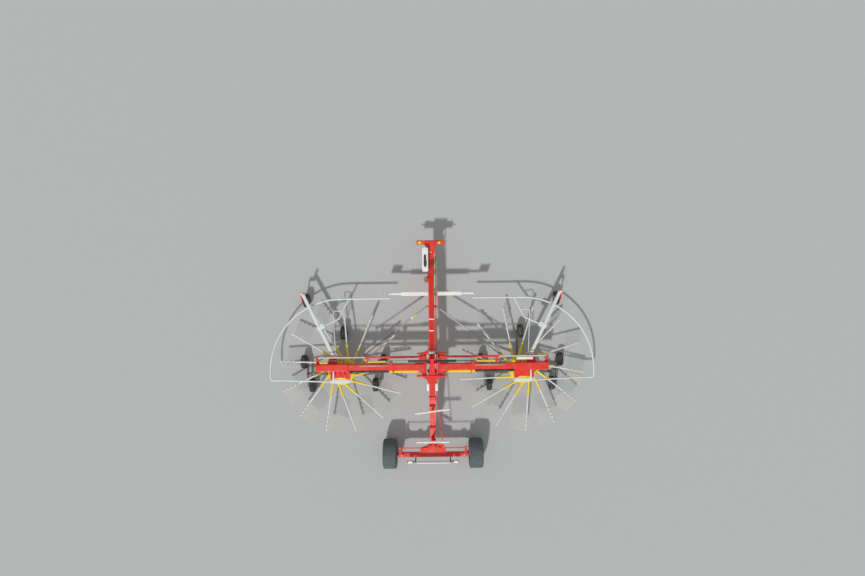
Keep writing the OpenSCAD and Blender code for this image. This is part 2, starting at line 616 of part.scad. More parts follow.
module carriage() color(red) {
    in_s = boom_s / 2 + 5;
    lip = boom_s / 2 + lip_gap;
    s2 = sleeve_s / 2;
    x0 = 2360;
    x1 = 3260;
    difference() {
        union() {
            tube_x(x0, x1, boom_y, beam_z, sleeve_s, sleeve_s, 22);
            for (x = [x0, x1 - 30]) tube_x(x, x + 30, boom_y, beam_z, sleeve_s + 20, sleeve_s + 20, 26);
            // Head that the gearbox hangs from
            block([rotor_x - 115, rotor_y - 130, beam_z - s2 - 20],
                [rotor_x + 130, boom_y, beam_z - s2 + 10]);
            block([rotor_x - 110, rotor_y - 125, beam_z - s2], [rotor_x + 110, boom_y, shelf_z - 5]);
            flat(soft([[2310, boom_y - s2 + 5, 0], [2880, boom_y - s2 + 5, 0], [2880, -600, 40],
                [2780, -600, 0], [2720, -560, 40], [2480, -560, 40], [2400, -600, 0], [2310, -600, 40]]),
                shelf_z - 20, shelf_z);
            // Ribs on the head, the outer two drawn out as arms for the guard's rear bar
            for (x = [2330, 2845]) side_plate(soft([[boom_y - s2 + 5, shelf_z - 40, 0],
                [-600, shelf_z - 34, 30], [-712, shelf_z - 22, 8], [-712, shelf_z, 8], [-600, shelf_z, 0],
                [-560, shelf_z + 20, 30], [boom_y - s2 + 5, shelf_z + 105, 0]]), 16, x);
            for (x = [2470, 2600, 2730]) side_plate(soft([[boom_y - s2 + 5, shelf_z - 10, 0],
                [-550, shelf_z - 10, 0], [-550, shelf_z + 15, 10], [-470, shelf_z + 30, 60],
                [boom_y - s2 + 5, shelf_z + 120, 0]]), 12, x);
        }
        block([x0 + 40, boom_y - in_s, beam_z - in_s], [x1 - 15, boom_y + in_s, beam_z + in_s]);
        block([x0 - 60, boom_y - lip, beam_z - lip], [x0 + 50, boom_y + lip, beam_z + lip]);
    }
    // Rod of the sliding cylinder and the bracket that it pulls on
    rod_x(20, 1010, 16, 1700, x1 - 20);
    flat(soft([[x1 - 110, boom_y + s2 - 5, 0], [x1, boom_y + s2 - 5, 0], [x1, 45, 20], [x1 - 50, 45, 10],
        [x1 - 60, -60, 60]]), 960, 985);
    block([x1 - 50, -40, 962], [x1, 45, 1050]);
    // Bracket of the guard and the feeler wheel's bar
    flat(soft([[2650, boom_y + s2 - 5, 0], [2970, boom_y + s2 - 5, 0], [2920, boom_y + s2 + 70, 60],
        [2920, bar_root[1] - 20, 0], [2700, bar_root[1] - 20, 0], [2700, boom_y + s2 + 70, 60]]), 881, 905);
    cheek(soft([[2700, 770, 20], [2920, 770, 20], [2920, 905, 0], [2700, 905, 0]]),
        bar_root[1] - 40, bar_root[1] - 20);
    for (x = [2712, 2908]) side_plate(soft([[-100, 890, 0], [bar_root[1] - 30, 890, 0],
        [bar_root[1] - 30, 790, 0], [-20, 870, 40]]), 14, x);
}

module rotor_gearbox() {
    top = beam_z - sleeve_s / 2 - 20;
    color(red) {
        translate([rotor_x, rotor_y, 0]) rotate_extrude() polygon([[0, 700], [150, 700], [150, 716],
            [128, 724], [112, 752], [112, top - 20], [0, top - 20]]);
        flat(section([rotor_x - 130, rotor_y - 126], [rotor_x + 130, rotor_y + 130], 30), 770, top);
        for (a = [45, 135, 225, 315]) translate([rotor_x, rotor_y, 0]) rotate([0, 0, a])
            translate([0, 6, 0]) cheek([[60, 705], [140, 705], [118, 790], [60, 790]], -12, 0);
    }
    color(black) rod_x(rotor_y, drive_z, 36, 1010, rotor_x - 200);
    color(cast) rod_x(rotor_y, drive_z, 48, rotor_x - 205, rotor_x - 125);
}

// Sleeve that joins two lengths of guard tube, centred on p and lying along d
module sleeve(p, d, r) {
    bar(p - d * 45 / norm(d), p + d * 45 / norm(d), r + 4);
}

// Guard bow, its branch, the feeler wheel's bar and the spindle at the bar's tip
module guard() color(zinc) {
    front_y = rotor_y + guard_reach;
    rear_y = rotor_y - 270;
    out_x = rotor_x + guard_reach;
    corner = 90;
    fork = [2380, front_y, guard_z];
    elbow = [2650, 1100, 690];
    clamp = [3198, 840, 765];
    rear_end = [out_x - 300, rear_y, guard_z];
    leg_end = [2870, rear_y + 5, shelf_z + 18];
    bar([1190, front_y, guard_z], [rotor_x, front_y, guard_z], guard_r);
    translate([rotor_x, rotor_y, guard_z]) rotate_extrude(angle = 90, $fn = 180)
        translate([guard_reach, 0]) circle(r = guard_r, $fn = 32);
    bar([out_x, rotor_y, guard_z], [out_x, rear_y + corner, guard_z], guard_r);
    translate([out_x - corner, rear_y + corner, guard_z]) rotate([0, 0, -90])
        rotate_extrude(angle = 90) translate([corner, 0]) circle(r = guard_r, $fn = 32);
    bar([out_x - corner, rear_y, guard_z], rear_end - [20, 0, 0], guard_r);
    bar(rear_end + [10, 0, -1], leg_end, guard_r - 2);
    sleeve([rotor_x, front_y, guard_z], [1, 0, 0], guard_r);
    sleeve([out_x, rotor_y, guard_z], [0, 1, 0], guard_r);
    sleeve(rear_end, [1, 0, 0], guard_r);
    // Rear bar that lies on the carriage's arms
    tube_x(2300, 2880, -660, shelf_z + seat + 18, 90, 36, 8);
    // Feeler wheel's bar
    difference() {
        union() {
            along(bar_root, bar_tip) translate([0, 0, 14])
                linear_extrude(norm(bar_tip - bar_root) - 14)
                    polygon(section([-32, -45], [32, 45], 10));
            translate([bar_tip[0], bar_tip[1], 560]) cylinder(h = 330, r = 34);
            translate([bar_tip[0], bar_tip[1], 560]) cylinder(h = 30, r = 44);
            cheek(soft([[2720, 772, 15], [2900, 772, 15], [2900, 868, 15], [2720, 868, 15]]),
                bar_root[1] - 20 + seat, bar_root[1] + 8);
        }
        translate([bar_tip[0], bar_tip[1], 550]) cylinder(h = 200, r = 18 + fit);
    }
    // Clamp on the bar and the branch that carries the bow
    translate(clamp) rotate([0, 0, 63]) flat(section([-70, -58], [70, 160], 20), -42, 42);
    bar([3090, 890, 765], elbow, 22);
    bar(elbow, fork, 22);
    along(elbow, fork) sphere(r = 26);
    sleeve(fork, [1, 0, 0], guard_r + 4);
}

module rotor_frame() color(cast) {
    translate([rotor_x, rotor_y, 0]) {
        translate([0, 0, 230]) cylinder(h = 470, r = post_r);
        translate([0, 0, 225]) cylinder(h = 90, r = 80);
        // Cross member and the arched beams that carry two wheels each
        tube_x(-beam_dx, beam_dx, -130, 265, 80, 70, 10);
        for (s = [-1, 1]) side_plate(soft([[-530, 172, 20], [-530, 232, 20], [-230, 306, 90],
            [-30, 306, 90], [270, 232, 20], [270, 172, 20], [60, 200, 60], [-320, 200, 60]]), 50, s * beam_dx);
        flat(soft([[-150, -168, 0], [150, -168, 0], [60, -60, 60], [60, 60, 20], [-60, 60, 20],
            [-60, -60, 60]]), 232, 298);
        // Arm of the front wheel
        side_plate(soft([[-110, 242, 0], [-110, 298, 0], [900, 298, 90], [1090, 236, 20], [1090, 174, 20],
            [1030, 174, 20], [880, 242, 90]]), 45, -107.5);
        block([-130, -100, 243], [-20, -40, 297]);
        // Stub axles
        for (w = small_wheels) {
            root = w[0] + w[2] * (small_w / 2 + 20);
            rod_x(w[1], small_r, 15, min(root, w[0] - w[2] * 30), max(root, w[0] - w[2] * 30));
        }
    }
}

// Small wheel: a rubber tyre moulded on its hub, as one solid
module small_wheel() {
    r = small_r;
    w = small_w / 2;
    rotate([0, 90, 0]) rotate_extrude() polygon([[15 + fit, -30], [40, -30], [50, -10], [90, -10],
        [95, -w + 25], [120, -w + 5], [160, -w], [r - 12, -w + 15], [r, -w + 45], [r, w - 45],
        [r - 12, w - 15], [160, w], [120, w - 5], [95, w - 25], [90, 10], [50, 10], [40, 30],
        [15 + fit, 30]]);
}

module rotor_wheel(i) color(black) {
    w = small_wheels[i - 1];
    translate([rotor_x + w[0], rotor_y + w[1], small_r]) small_wheel();
}

module rotor_hub(a0) color(yellow)
    translate([rotor_x, rotor_y, 0]) {
        difference() {
            union() {
                rotate_extrude($fn = 96) polygon([[0, 495], [150, 495], [150, 525], [185, 545],
                    [hub_r - 12, 545], [hub_r, 552], [hub_r, 640], [hub_r - 20, 656], [230, 672],
                    [180, 690], [0, 690]]);
                for (k = [0 : arm_count - 1]) rotate([0, 0, a0 + k * arm_step])
                    translate([0, arm_offset, arm_z]) rotate([0, 90 + arm_droop, 0]) {
                        translate([0, 0, 250]) cylinder(h = bearing_end - 250, r = bearing_r);
                        translate([0, 0, bearing_end - 26]) cylinder(h = 26, r = bearing_r + 7);
                        translate([0, 0, 330]) cylinder(h = 100, r = bearing_r + 7);
                    }
            }
            translate([0, 0, 485]) cylinder(h = 220, r = post_r + fit);
        }
    }

// Roll of an arm's tines about the arm: down in front, laid back behind
function roll(t) = t > 25 && t < 165 ? 5 : t >= 0 ? 45 : t > -12 || t < -168 ? 65 : 78;
function wrap(t) = t > 180 ? wrap(t - 360) : t <= -180 ? wrap(t + 360) : t;

// One arm along X with its tines, rolled back by the angle given
module tine_arm(lay) {
    rotate([0, 90, 0]) translate([0, 0, bearing_end]) cylinder(h = arm_reach - bearing_end, r = arm_r);
    rotate([-lay, 0, 0]) for (i = [0 : 2 : prong_count - 1]) {
        x = prong_first + i * prong_step;
        // Coil of a double tine and the clamp that holds it on the arm
        translate([x - 8, coil_at[0], coil_at[1]]) rotate([0, 90, 0])
            cylinder(h = prong_step + 16, r = coil_r);
        block([x + prong_step / 2 - 12, coil_at[0] - 4, coil_at[1] - 4],
            [x + prong_step / 2 + 12, 6, arm_r + 6]);
        for (p = [x, x + prong_step]) {
            translate([p, coil_at[0] - 6, -knee_at - 2]) cylinder(h = knee_at + coil_at[1], r = prong_r);
            along([p, coil_at[0] - 6, -knee_at], [p, coil_at[0] - 6 + tip_lean, -prong_len])
                cylinder(h = norm([tip_lean, prong_len - knee_at]), r = prong_r - 0.5);
        }
    }
}

module tine_arms(a0) color(zinc)
    translate([rotor_x, rotor_y, 0]) for (k = [0 : arm_count - 1]) {
        a = a0 + k * arm_step;
        rotate([0, 0, a]) translate([0, arm_offset, arm_z]) rotate([0, arm_droop, 0])
            tine_arm(roll(wrap(a + 7)));
    }

module feeler_fork() color(red) {
    arm_x = bar_tip[0] + small_w / 2 + 28;
    mid = [bar_tip[0], bar_tip[1]];
    translate([mid[0], mid[1], 500]) cylinder(h = 245, r = 18);
    flat(soft([[mid[0] - 50, mid[1] - 48, 35], [arm_x + 12, mid[1] - 48, 20], [arm_x + 12, mid[1] + 48, 20],
        [mid[0] - 50, mid[1] + 48, 35]]), 530, 560 - seat);
    side_plate(soft([[mid[1] + 45, 560 - seat, 0], [mid[1] - 45, 560 - seat, 0],
        [mid[1] - 60, 430, 60], [mid[1] - trail - 45, 330, 70], [mid[1] - trail - 45, 160, 35],
        [mid[1] - trail + 45, 160, 35], [mid[1] - trail + 50, 270, 50], [mid[1] + 45, 470, 60]]), 24, arm_x);
    rod_x(mid[1] - trail, small_r, 15, mid[0] - 30, arm_x);
    rod_x(mid[1] - trail, small_r, 30, arm_x - 16, arm_x + 20);
}

module feeler_wheel() color(black)
    translate([bar_tip[0], bar_tip[1] - trail, small_r]) small_wheel();

module side_piece(p, s) {
    a0 = phase[s == "left" ? 0 : 1][1];
    on_side(s) {
        if (p == "boom") boom();
        if (p == "boom_drive") boom_drive();
        if (p == "lift_barrel") lift_barrel();
        if (p == "lift_rod") lift_rod();
        if (p == "strut_tube") strut_tube();
        if (p == "strut_rod") strut_rod();
        if (p == "carriage") carriage();
        if (p == "rotor_gearbox") rotor_gearbox();
        if (p == "guard") guard();
        if (p == "rotor_frame") rotor_frame();
        if (p == "rotor_hub") rotor_hub(a0);
        if (p == "tine_arms") tine_arms(a0);
        if (p == "feeler_fork") feeler_fork();
        if (p == "feeler_wheel") feeler_wheel();
        for (i = [1 : 5]) if (p == str("rotor_wheel_", i)) rotor_wheel(i);
        if (p == "tie_rod") tie_rod();
        if (p == "knuckle") knuckle();
        if (p == "road_rim") road_rim();
        if (p == "road_tyre") road_tyre();
    }
}

drawbar();
centre_frame();
rear_frame();
arm_racks();
lamp_board();
front_boards();
toolbox();
drive_line();
jack_leg();
headstock();
steer_rod();
bell_crank();
for (p = SIDE_PARTS) for (s = SIDES) side_piece(p, s);
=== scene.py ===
# A towed hay rake with two rotors and centre delivery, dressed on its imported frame. The frame is X to
# the right, Y forward and Z up, in metres, with the origin on the ground.
import math

import bpy
from mathutils import Matrix, Vector


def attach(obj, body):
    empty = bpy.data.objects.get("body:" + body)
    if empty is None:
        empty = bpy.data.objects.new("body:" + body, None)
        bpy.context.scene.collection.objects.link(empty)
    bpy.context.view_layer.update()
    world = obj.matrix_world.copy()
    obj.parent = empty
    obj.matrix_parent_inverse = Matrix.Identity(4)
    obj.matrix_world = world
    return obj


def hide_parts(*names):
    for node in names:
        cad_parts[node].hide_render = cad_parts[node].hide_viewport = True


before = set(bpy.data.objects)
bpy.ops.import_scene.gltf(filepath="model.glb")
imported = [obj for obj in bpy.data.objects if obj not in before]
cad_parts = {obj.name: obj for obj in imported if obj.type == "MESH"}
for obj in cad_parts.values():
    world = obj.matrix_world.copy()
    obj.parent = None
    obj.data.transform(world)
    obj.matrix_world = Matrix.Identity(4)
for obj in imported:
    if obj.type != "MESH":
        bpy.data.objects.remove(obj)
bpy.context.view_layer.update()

# Camera: 17 m above the drawbar and looking straight down, with a 24 mm lens on a 36 mm sensor. The
# machine stands a little turned in the picture.
CAMERA_AT = (0.036, 1.95, 17.2)
CAMERA_TURN = math.radians(-0.63)

bpy.ops.object.camera_add(location=CAMERA_AT, rotation=(0.0, 0.0, CAMERA_TURN))
camera = bpy.context.object
camera.data.lens = 24.0
camera.data.sensor_width = 36.0
camera.data.clip_end = 200.0
bpy.context.scene.camera = camera
bpy.context.scene.view_settings.view_transform = "Standard"

# Red frame: drawbar, centre frame and rear frame. Each is welded up from box tube and plate and powder
# coated red. Hexagon bolts through their flanges join them to one long beam, and nuts hold the pins
# that the booms fold on and that the bell crank turns on.
DUST_SCALE = 7.0
MUD_SCALE = 11.0
WORN_EDGE = 0.0035


class Value:
    """A shader value. Python's operators on it add the Math nodes."""

    def __init__(self, finish, socket):
        self.finish = finish
        self.socket = socket

    def _math(self, operation, a, b):
        return self.finish.node("ShaderNodeMath", {"operation": operation}, {0: a, 1: b})

    def __add__(self, other):
        return self._math("ADD", self, other)

    def __radd__(self, other):
        return self._math("ADD", other, self)

    def __sub__(self, other):
        return self._math("SUBTRACT", self, other)

    def __rsub__(self, other):
        return self._math("SUBTRACT", other, self)

    def __mul__(self, other):
        return self._math("MULTIPLY", self, other)

    def __rmul__(self, other):
        return self._math("MULTIPLY", other, self)

    def __abs__(self):
        return self._math("ABSOLUTE", self, 0.0)

    def either(self, other):
        """1 where this mask or the other one is 1."""
        return self._math("MAXIMUM", self, other)

    def part(self):
        """What stands after the decimal point."""
        return self._math("FRACT", self, 0.0)

    def above(self, low, high):
        """0 below low and 1 above high, with a smooth step between them."""
        return self.finish.node(
            "ShaderNodeMapRange",
            {"interpolation_type": "SMOOTHSTEP"},
            {"Value": self, "From Min": low, "From Max": high},
        )

    def past(self, edge, soft=0.0001):
        """1 past an edge and 0 before it. The step is as wide as soft on each side of the edge."""
        return self.above(edge - soft, edge + soft)

    def within(self, low, high):
        """1 between two edges, else 0."""
        return self.past(low, 0.0003) * (1.0 - self.past(high, 0.0003))


class Finish:
    """A material: its shader, and one method that adds any other node."""

    def __init__(self, name):
        self.material = bpy.data.materials.new(name)
        self.material.use_nodes = True
        self.tree = self.material.node_tree
        self.tree.nodes.clear()
        self.shader = self.tree.nodes.new("ShaderNodeBsdfPrincipled")
        out = self.tree.nodes.new("ShaderNodeOutputMaterial")
        self.tree.links.new(self.shader.outputs[0], out.inputs["Surface"])
        self.place = self.node("ShaderNodeTexCoord", out="Object")
        self.facing = self.node("ShaderNodeTexCoord", out="Normal")

    def node(self, kind, settings=None, sockets=None, out=0):
        made = self.tree.nodes.new(kind)
        for key, value in (settings or {}).items():
            setattr(made, key, value)
        for key, value in (sockets or {}).items():
            if isinstance(value, Value):
                self.tree.links.new(value.socket, made.inputs[key])
            else:
                made.inputs[key].default_value = value
        return Value(self, made.outputs[out])

    def set(self, **inputs):
        """Sets the shader's own inputs: base_color=... is the one named Base Color."""
        for key, value in inputs.items():
            socket = self.shader.inputs[key.replace("_", " ").title()]
            if isinstance(value, Value):
                self.tree.links.new(value.socket, socket)
            else:
                socket.default_value = value

    def noise(self, scale, detail, rough=0.55):
        sockets = {"Vector": self.place, "Scale": scale, "Detail": detail, "Roughness": rough}
        return self.node("ShaderNodeTexNoise", {}, sockets)

    def axis(self, letter, vector=None):
        """One coordinate of the place on the piece, or of another vector."""
        return self.node("ShaderNodeSeparateXYZ", {}, {0: vector or self.place}, out=letter)

    def blend(self, mask, a, b):
        """Colour a, and colour b where the mask is 1."""
        return self.node("ShaderNodeMix", {"data_type": "RGBA"}, {0: mask, 6: a, 7: b}, out=2)

    def bump(self, height, distance, soft):
        """Roughens the surface by a height, over edges that soft rounds."""
        sockets = {"Height": height, "Distance": distance, "Normal": soft}
        self.set(normal=self.node("ShaderNodeBump", {}, sockets))


def rgb(red, green, blue):
    """A colour written as on a screen, from 0 to 255, as the shader's linear one."""
    return tuple((c / 255.0) ** 2.2 for c in (red, green, blue)) + (1.0,)


DUST = rgb(176, 164, 132)
MUD = rgb(112, 98, 70)


def weathered(name, colour, rough=0.4, metal=0.0, dust=0.35, fade=0.25, grain=0.0006, marks=()):
    """A coat that has worked outdoors. It fades in patches, dust lies on what faces up, and mud has
    dried on what is low. marks are (mask, colour) pairs for what has another colour, where a mask is
    made from the place on the piece."""
    finish = Finish(name)
    patches = finish.noise(scale=2.3, detail=4.0).above(0.35, 0.75)
    fine = finish.noise(scale=55.0, detail=2.0)
    lies = finish.axis("Z", finish.facing).above(0.1, 0.9)
    lies = lies * finish.noise(DUST_SCALE, detail=5.0, rough=0.65).above(0.42, 0.8)
    low = 1.0 - finish.axis("Z").above(0.1, 0.55)
    low = low * finish.noise(MUD_SCALE, detail=6.0, rough=0.7).above(0.45, 0.75)
    base = colour
    for mask, other in marks:
        base = finish.blend(mask(finish), base, other)
    base = finish.blend(patches * (0.28 * fade), base, DUST)
    base = finish.blend(lies * dust, base, DUST)
    base = finish.blend(low * 0.55, base, MUD)
    roughness = fine * 0.12 + lies * (0.5 * dust) + low * 0.3 + rough
    finish.set(base_color=base, roughness=roughness, metallic=metal)
    soft = finish.node("ShaderNodeBevel", {"samples": 4}, {"Radius": WORN_EDGE})
    finish.bump(fine + lies * 0.6 + low * 1.5, grain, soft)
    return finish


def paint_node(finish, *names):
    """Gives the frame's own nodes a finish."""
    for name in names:
        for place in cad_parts[name].material_slots:
            place.material = finish.material


RED = rgb(230, 44, 32)
red_paint = weathered("red powder coat", RED, rough=0.34, dust=0.22, fade=0.3)
paint_node(red_paint, "drawbar", "centre_frame", "rear_frame")


def deselect():
    bpy.ops.object.select_all(action="DESELECT")


def settle(piece, name, finish, body, angle=35.0):
    """Finishes a piece: its place goes into its mesh, and it gets its coat and its body."""
    deselect()
    piece.select_set(True)
    bpy.context.view_layer.objects.active = piece
    bpy.ops.object.transform_apply(location=True, rotation=True, scale=True)
    bpy.ops.object.shade_smooth_by_angle(angle=math.radians(angle))
    piece.name = name
    piece.data.name = name
    piece.data.materials.clear()
    piece.data.materials.append(finish.material)
    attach(piece, body)


def joined(parts):
    """One mesh of several."""
    deselect()
    for part in parts:
        part.select_set(True)
    bpy.context.view_layer.objects.active = parts[0]
    if len(parts) > 1:
        bpy.ops.object.join()
    return bpy.context.view_layer.objects.active


def copies(model, places):
    """Copies of a model at each place, joined to one mesh. The model itself goes."""
    made = []
    for place in places:
        copy = model.copy()
        copy.data = model.data.copy()
        bpy.context.scene.collection.objects.link(copy)
        copy.data.transform(place)
        if place.determinant() < 0:
            copy.data.flip_normals()
        made.append(copy)
    bpy.data.objects.remove(model)
    return joined(made)


def toward(axis, at):
    """A place at a point, with Z turned to an axis."""
    return Matrix.Translation(at) @ Vector(axis).to_track_quat("Z", "Y").to_matrix().to_4x4()


def take_edges_off(piece, width, segments=1):
    """Bevels every edge of a piece."""
    bpy.context.view_layer.objects.active = piece
    bpy.ops.object.mode_set(mode="EDIT")
    bpy.ops.mesh.select_all(action="SELECT")
    bpy.ops.mesh.bevel(offset=width, segments=segments)
    bpy.ops.object.mode_set(mode="OBJECT")


def bolt(size):
    """A hexagon head on its washer, standing on Z, for a thread of the given size."""
    deselect()
    bpy.ops.mesh.primitive_cylinder_add(vertices=20, radius=1.1 * size, depth=0.15 * size)
    washer = bpy.context.object
    washer.data.transform(Matrix.Translation((0, 0, 0.075 * size)))
    bpy.ops.mesh.primitive_cylinder_add(vertices=6, radius=0.92 * size, depth=0.65 * size)
    hexagon = bpy.context.object
    hexagon.data.transform(Matrix.Translation((0, 0, 0.475 * size)))
    take_edges_off(hexagon, 0.09 * size)
    return joined([washer, hexagon])


bolt_zinc = weathered("zinc plated bolts", rgb(186, 188, 186), rough=0.38, metal=0.85, dust=0.2)


def bolts(name, size, places, body):
    settle(copies(bolt(size), places), name, bolt_zinc, body)


UP = (0, 0, 1)
FRONT = (0, 1, 0)
BACK = (0, -1, 0)
FLANGE_FACES = [(0.252, FRONT), (0.208, BACK), (-1.122, BACK)]
FLANGE_X = (-0.062, 0.0, 0.062)
FLANGE_Z = (0.884, 1.076)
HINGE_ENDS = [(0.135, FRONT), (-0.535, BACK)]
HINGE_X = (-0.2, 0.2)
HINGE_Z = 0.98
CRANK_PIN_TOP = (0.0, -2.42, 0.77)

flange_bolts = [toward(way, (x, y, z)) for y, way in FLANGE_FACES for x in FLANGE_X for z in FLANGE_Z]
bolts("flange_bolts", 0.012, flange_bolts, "frame")
pin_nuts = [toward(way, (x, y, HINGE_Z)) for y, way in HINGE_ENDS for x in HINGE_X]
bolts("hinge_pin_nuts", 0.02, pin_nuts + [toward(UP, CRANK_PIN_TOP)], "frame")

# Headstock: a red cross beam with bright link pins at its ends, each held by a linch pin with a spring
# ring. Yellow plastic clips stand on the beam. It turns on one large pin in the drawbar's nose.
YELLOW = rgb(240, 212, 32)
STEEL = rgb(176, 178, 180)
CLIP_X = (0.165, 0.375)
CLIP_Z = (0.7802, 0.835)
LINK_PIN_FROM = 0.4003
HITCH_PIN_TOP = (0.0, 2.97, 0.936)
LINK_Y = 3.25
LINCH_X = 0.487
LINCH_Z = 0.730
RING_X = 0.4965
RING_Z = 0.727


def clips(finish):
    return finish.axis("Z").within(*CLIP_Z) * abs(finish.axis("X")).within(*CLIP_X)


def link_pins(finish):
    return abs(finish.axis("X")).past(LINK_PIN_FROM)


head_marks = [(clips, YELLOW), (link_pins, STEEL)]
head_paint = weathered("red powder coat and pins", RED, rough=0.34, dust=0.22, marks=head_marks)
paint_node(head_paint, "headstock")
bolts("hitch_nut", 0.03, [toward(UP, HITCH_PIN_TOP)], "headstock")
linch_pins = []
for sign in (-1, 1):
    bpy.ops.mesh.primitive_torus_add(
        major_radius=0.026, minor_radius=0.0028, major_segments=32, minor_segments=8
    )
    ring = bpy.context.object
    ring.data.transform(toward((sign, 0, 0), (sign * RING_X, LINK_Y, RING_Z)))
    bpy.ops.mesh.primitive_cylinder_add(vertices=16, radius=0.005, depth=0.064)
    pin = bpy.context.object
    pin.data.transform(Matrix.Translation((sign * LINCH_X, LINK_Y, LINCH_Z)))
    linch_pins += [ring, pin]
settle(joined(linch_pins), "linch_pins", bolt_zinc, "headstock", 60.0)

# Drive line under the drawbar: grey cast gearboxes, the long shaft in its yellow plastic tube, and the
# splined input of ground steel. A black rubber bell, clipped to the casting, guards the joint there.
CAST = rgb(92, 96, 98)
BLACK = rgb(34, 35, 37)
TUBE_GUARD_Y = (-0.24, 2.47)
SPLINE_FROM = 2.641
BELL_AT = (0.0, 2.6405, 0.52)
BELL_WALL = 0.004
# Radius and height of the bell's neck, shoulder and mouth
BELL = [(0.036, 0.0), (0.048, 0.02), (0.078, 0.06), (0.078 - BELL_WALL, 0.06), (0.046, 0.024),
        (0.036 - BELL_WALL, 0.004)]


def tube_guard(finish):
    return finish.axis("Y").within(*TUBE_GUARD_Y)


def spline(finish):
    return finish.axis("Y").past(SPLINE_FROM, 0.0005)


drive_marks = [(tube_guard, YELLOW), (spline, STEEL)]
paint_node(weathered("grey cast gearbox", CAST, rough=0.5, dust=0.4, marks=drive_marks), "drive_line")


def lathe(outline, steps):
    """A turned solid about Z: its outline of (radius, height) points is extruded, closed and spun."""
    deselect()
    bpy.ops.mesh.primitive_plane_add(size=0.01, enter_editmode=True)
    bpy.ops.mesh.merge(type="CENTER")
    radius, height = outline[0]
    bpy.ops.transform.translate(value=(radius, 0.0, height))
    for (r0, z0), (r1, z1) in zip(outline, outline[1:] + outline[:1]):
        bpy.ops.mesh.extrude_region_move(TRANSFORM_OT_translate={"value": (r1 - r0, 0.0, z1 - z0)})
    bpy.ops.mesh.select_all(action="SELECT")
    bpy.ops.mesh.spin(steps=steps, angle=2.0 * math.pi, center=(0, 0, 0), axis=(0, 0, 1))
    bpy.ops.mesh.select_all(action="SELECT")
    bpy.ops.mesh.remove_doubles(threshold=0.0001)
    bpy.ops.mesh.normals_make_consistent(inside=False)
    bpy.ops.object.mode_set(mode="OBJECT")
    return bpy.context.object


black_rubber = weathered("black rubber and plastic", BLACK, rough=0.6, dust=0.3)
bell = lathe(BELL, 40)
bell.data.transform(toward(FRONT, BELL_AT))
settle(bell, "input_bell", black_rubber, "frame", 30.0)

# Hydraulics on the drawbar: four steel pipes, coated red with the frame, run in white plastic clamps
# from the plated valve block on the centre frame to the nose. Their black couplings stand there in a
# holder while the machine is parked.
PIPE_X = (-0.048, -0.016, 0.016, 0.048)
# Each pipe's places along the machine and up
PIPE_RUN = [
    (0.20, 1.115), (0.27, 1.115), (0.31, 1.11), (0.36, 1.086), (0.42, 1.082), (1.50, 1.082), (1.75, 1.080),
    (1.95, 1.062), (2.10, 1.040), (2.50, 0.970), (2.58, 0.958), (2.61, 0.965), (2.62, 0.985), (2.62, 1.02),
]
PIPE_R = 0.0065
VALVE_BLOCK = ((-0.085, 0.125, 1.0802), (0.085, 0.205, 1.150))
COIL_X = (-0.03, 0.03)
COIL_HALF = 0.015
COUPLING = [
    (0.0, 0.0), (0.012, 0.0), (0.012, 0.022), (0.0145, 0.024), (0.0145, 0.05), (0.011, 0.054),
    (0.011, 0.075), (0.0, 0.075),
]
COUPLING_FOOT = 1.012
HOLDER_PLATE = ((-0.075, 2.600, 1.000), (0.075, 2.640, 1.010))
HOLDER_LEG_X = (-0.07, 0.07)
LEG_HALF = 0.004
CLAMP_Y = (0.76, 1.08)
CLAMP_HALF = 0.016
WHITE = rgb(236, 236, 232)
white_paint = weathered("white powder coat", WHITE, rough=0.4, dust=0.35)
block_zinc = weathered("plated valve block", rgb(168, 168, 160), rough=0.35, metal=0.7, dust=0.25)


def wire(points, radius, fineness=1):
    """Round wire or pipe along points, as a mesh with closed ends."""
    curve = bpy.data.curves.new("wire", "CURVE")
    curve.dimensions = "3D"
    curve.bevel_depth = radius
    curve.bevel_resolution = fineness
    curve.use_fill_caps = True
    run = curve.splines.new("POLY")
    run.points.add(len(points) - 1)
    for point, at in zip(run.points, points):
        point.co = (*at, 1.0)
    made = bpy.data.objects.new("wire", curve)
    bpy.context.scene.collection.objects.link(made)
    deselect()
    made.select_set(True)
    bpy.context.view_layer.objects.active = made
    bpy.ops.object.convert(target="MESH")
    return bpy.context.object


def box_piece(low, high, bevel=0.004):
    """A box between two corners with its edges taken off."""
    deselect()
    bpy.ops.mesh.primitive_cube_add(size=1.0)
    made = bpy.context.object
    size = [b - a for a, b in zip(low, high)]
    middle = [(a + b) / 2 for a, b in zip(low, high)]
    made.data.transform(Matrix.Translation(middle) @ Matrix.Diagonal((*size, 1.0)))
    take_edges_off(made, bevel, segments=2)
    return made


pipes = [wire([(x, y, z) for y, z in PIPE_RUN], PIPE_R, 2) for x in PIPE_X]
settle(joined(pipes), "drawbar_pipes", red_paint, "frame", 60.0)
blocks = [box_piece(*VALVE_BLOCK)]
blocks += [box_piece((x - COIL_HALF, 0.140, 1.150), (x + COIL_HALF, 0.190, 1.185)) for x in COIL_X]
settle(joined(blocks), "valve_block", block_zinc, "frame")
pipe_ends = [Matrix.Translation((x, PIPE_RUN[-1][0], COUPLING_FOOT)) for x in PIPE_X]
settle(copies(lathe(COUPLING, 20), pipe_ends), "pipe_couplings", black_rubber, "frame")
holder = [box_piece(*HOLDER_PLATE, bevel=0.002)]
for x in HOLDER_LEG_X:
    holder.append(box_piece((x - LEG_HALF, 2.605, 0.93), (x + LEG_HALF, 2.635, 1.002), bevel=0.0015))
settle(joined(holder), "coupling_holder", black_rubber, "frame")
clamps = [box_piece((-0.066, y - CLAMP_HALF, 1.058), (0.066, y + CLAMP_HALF, 1.095)) for y in CLAMP_Y]
settle(joined(clamps), "pipe_clamps", white_paint, "frame")

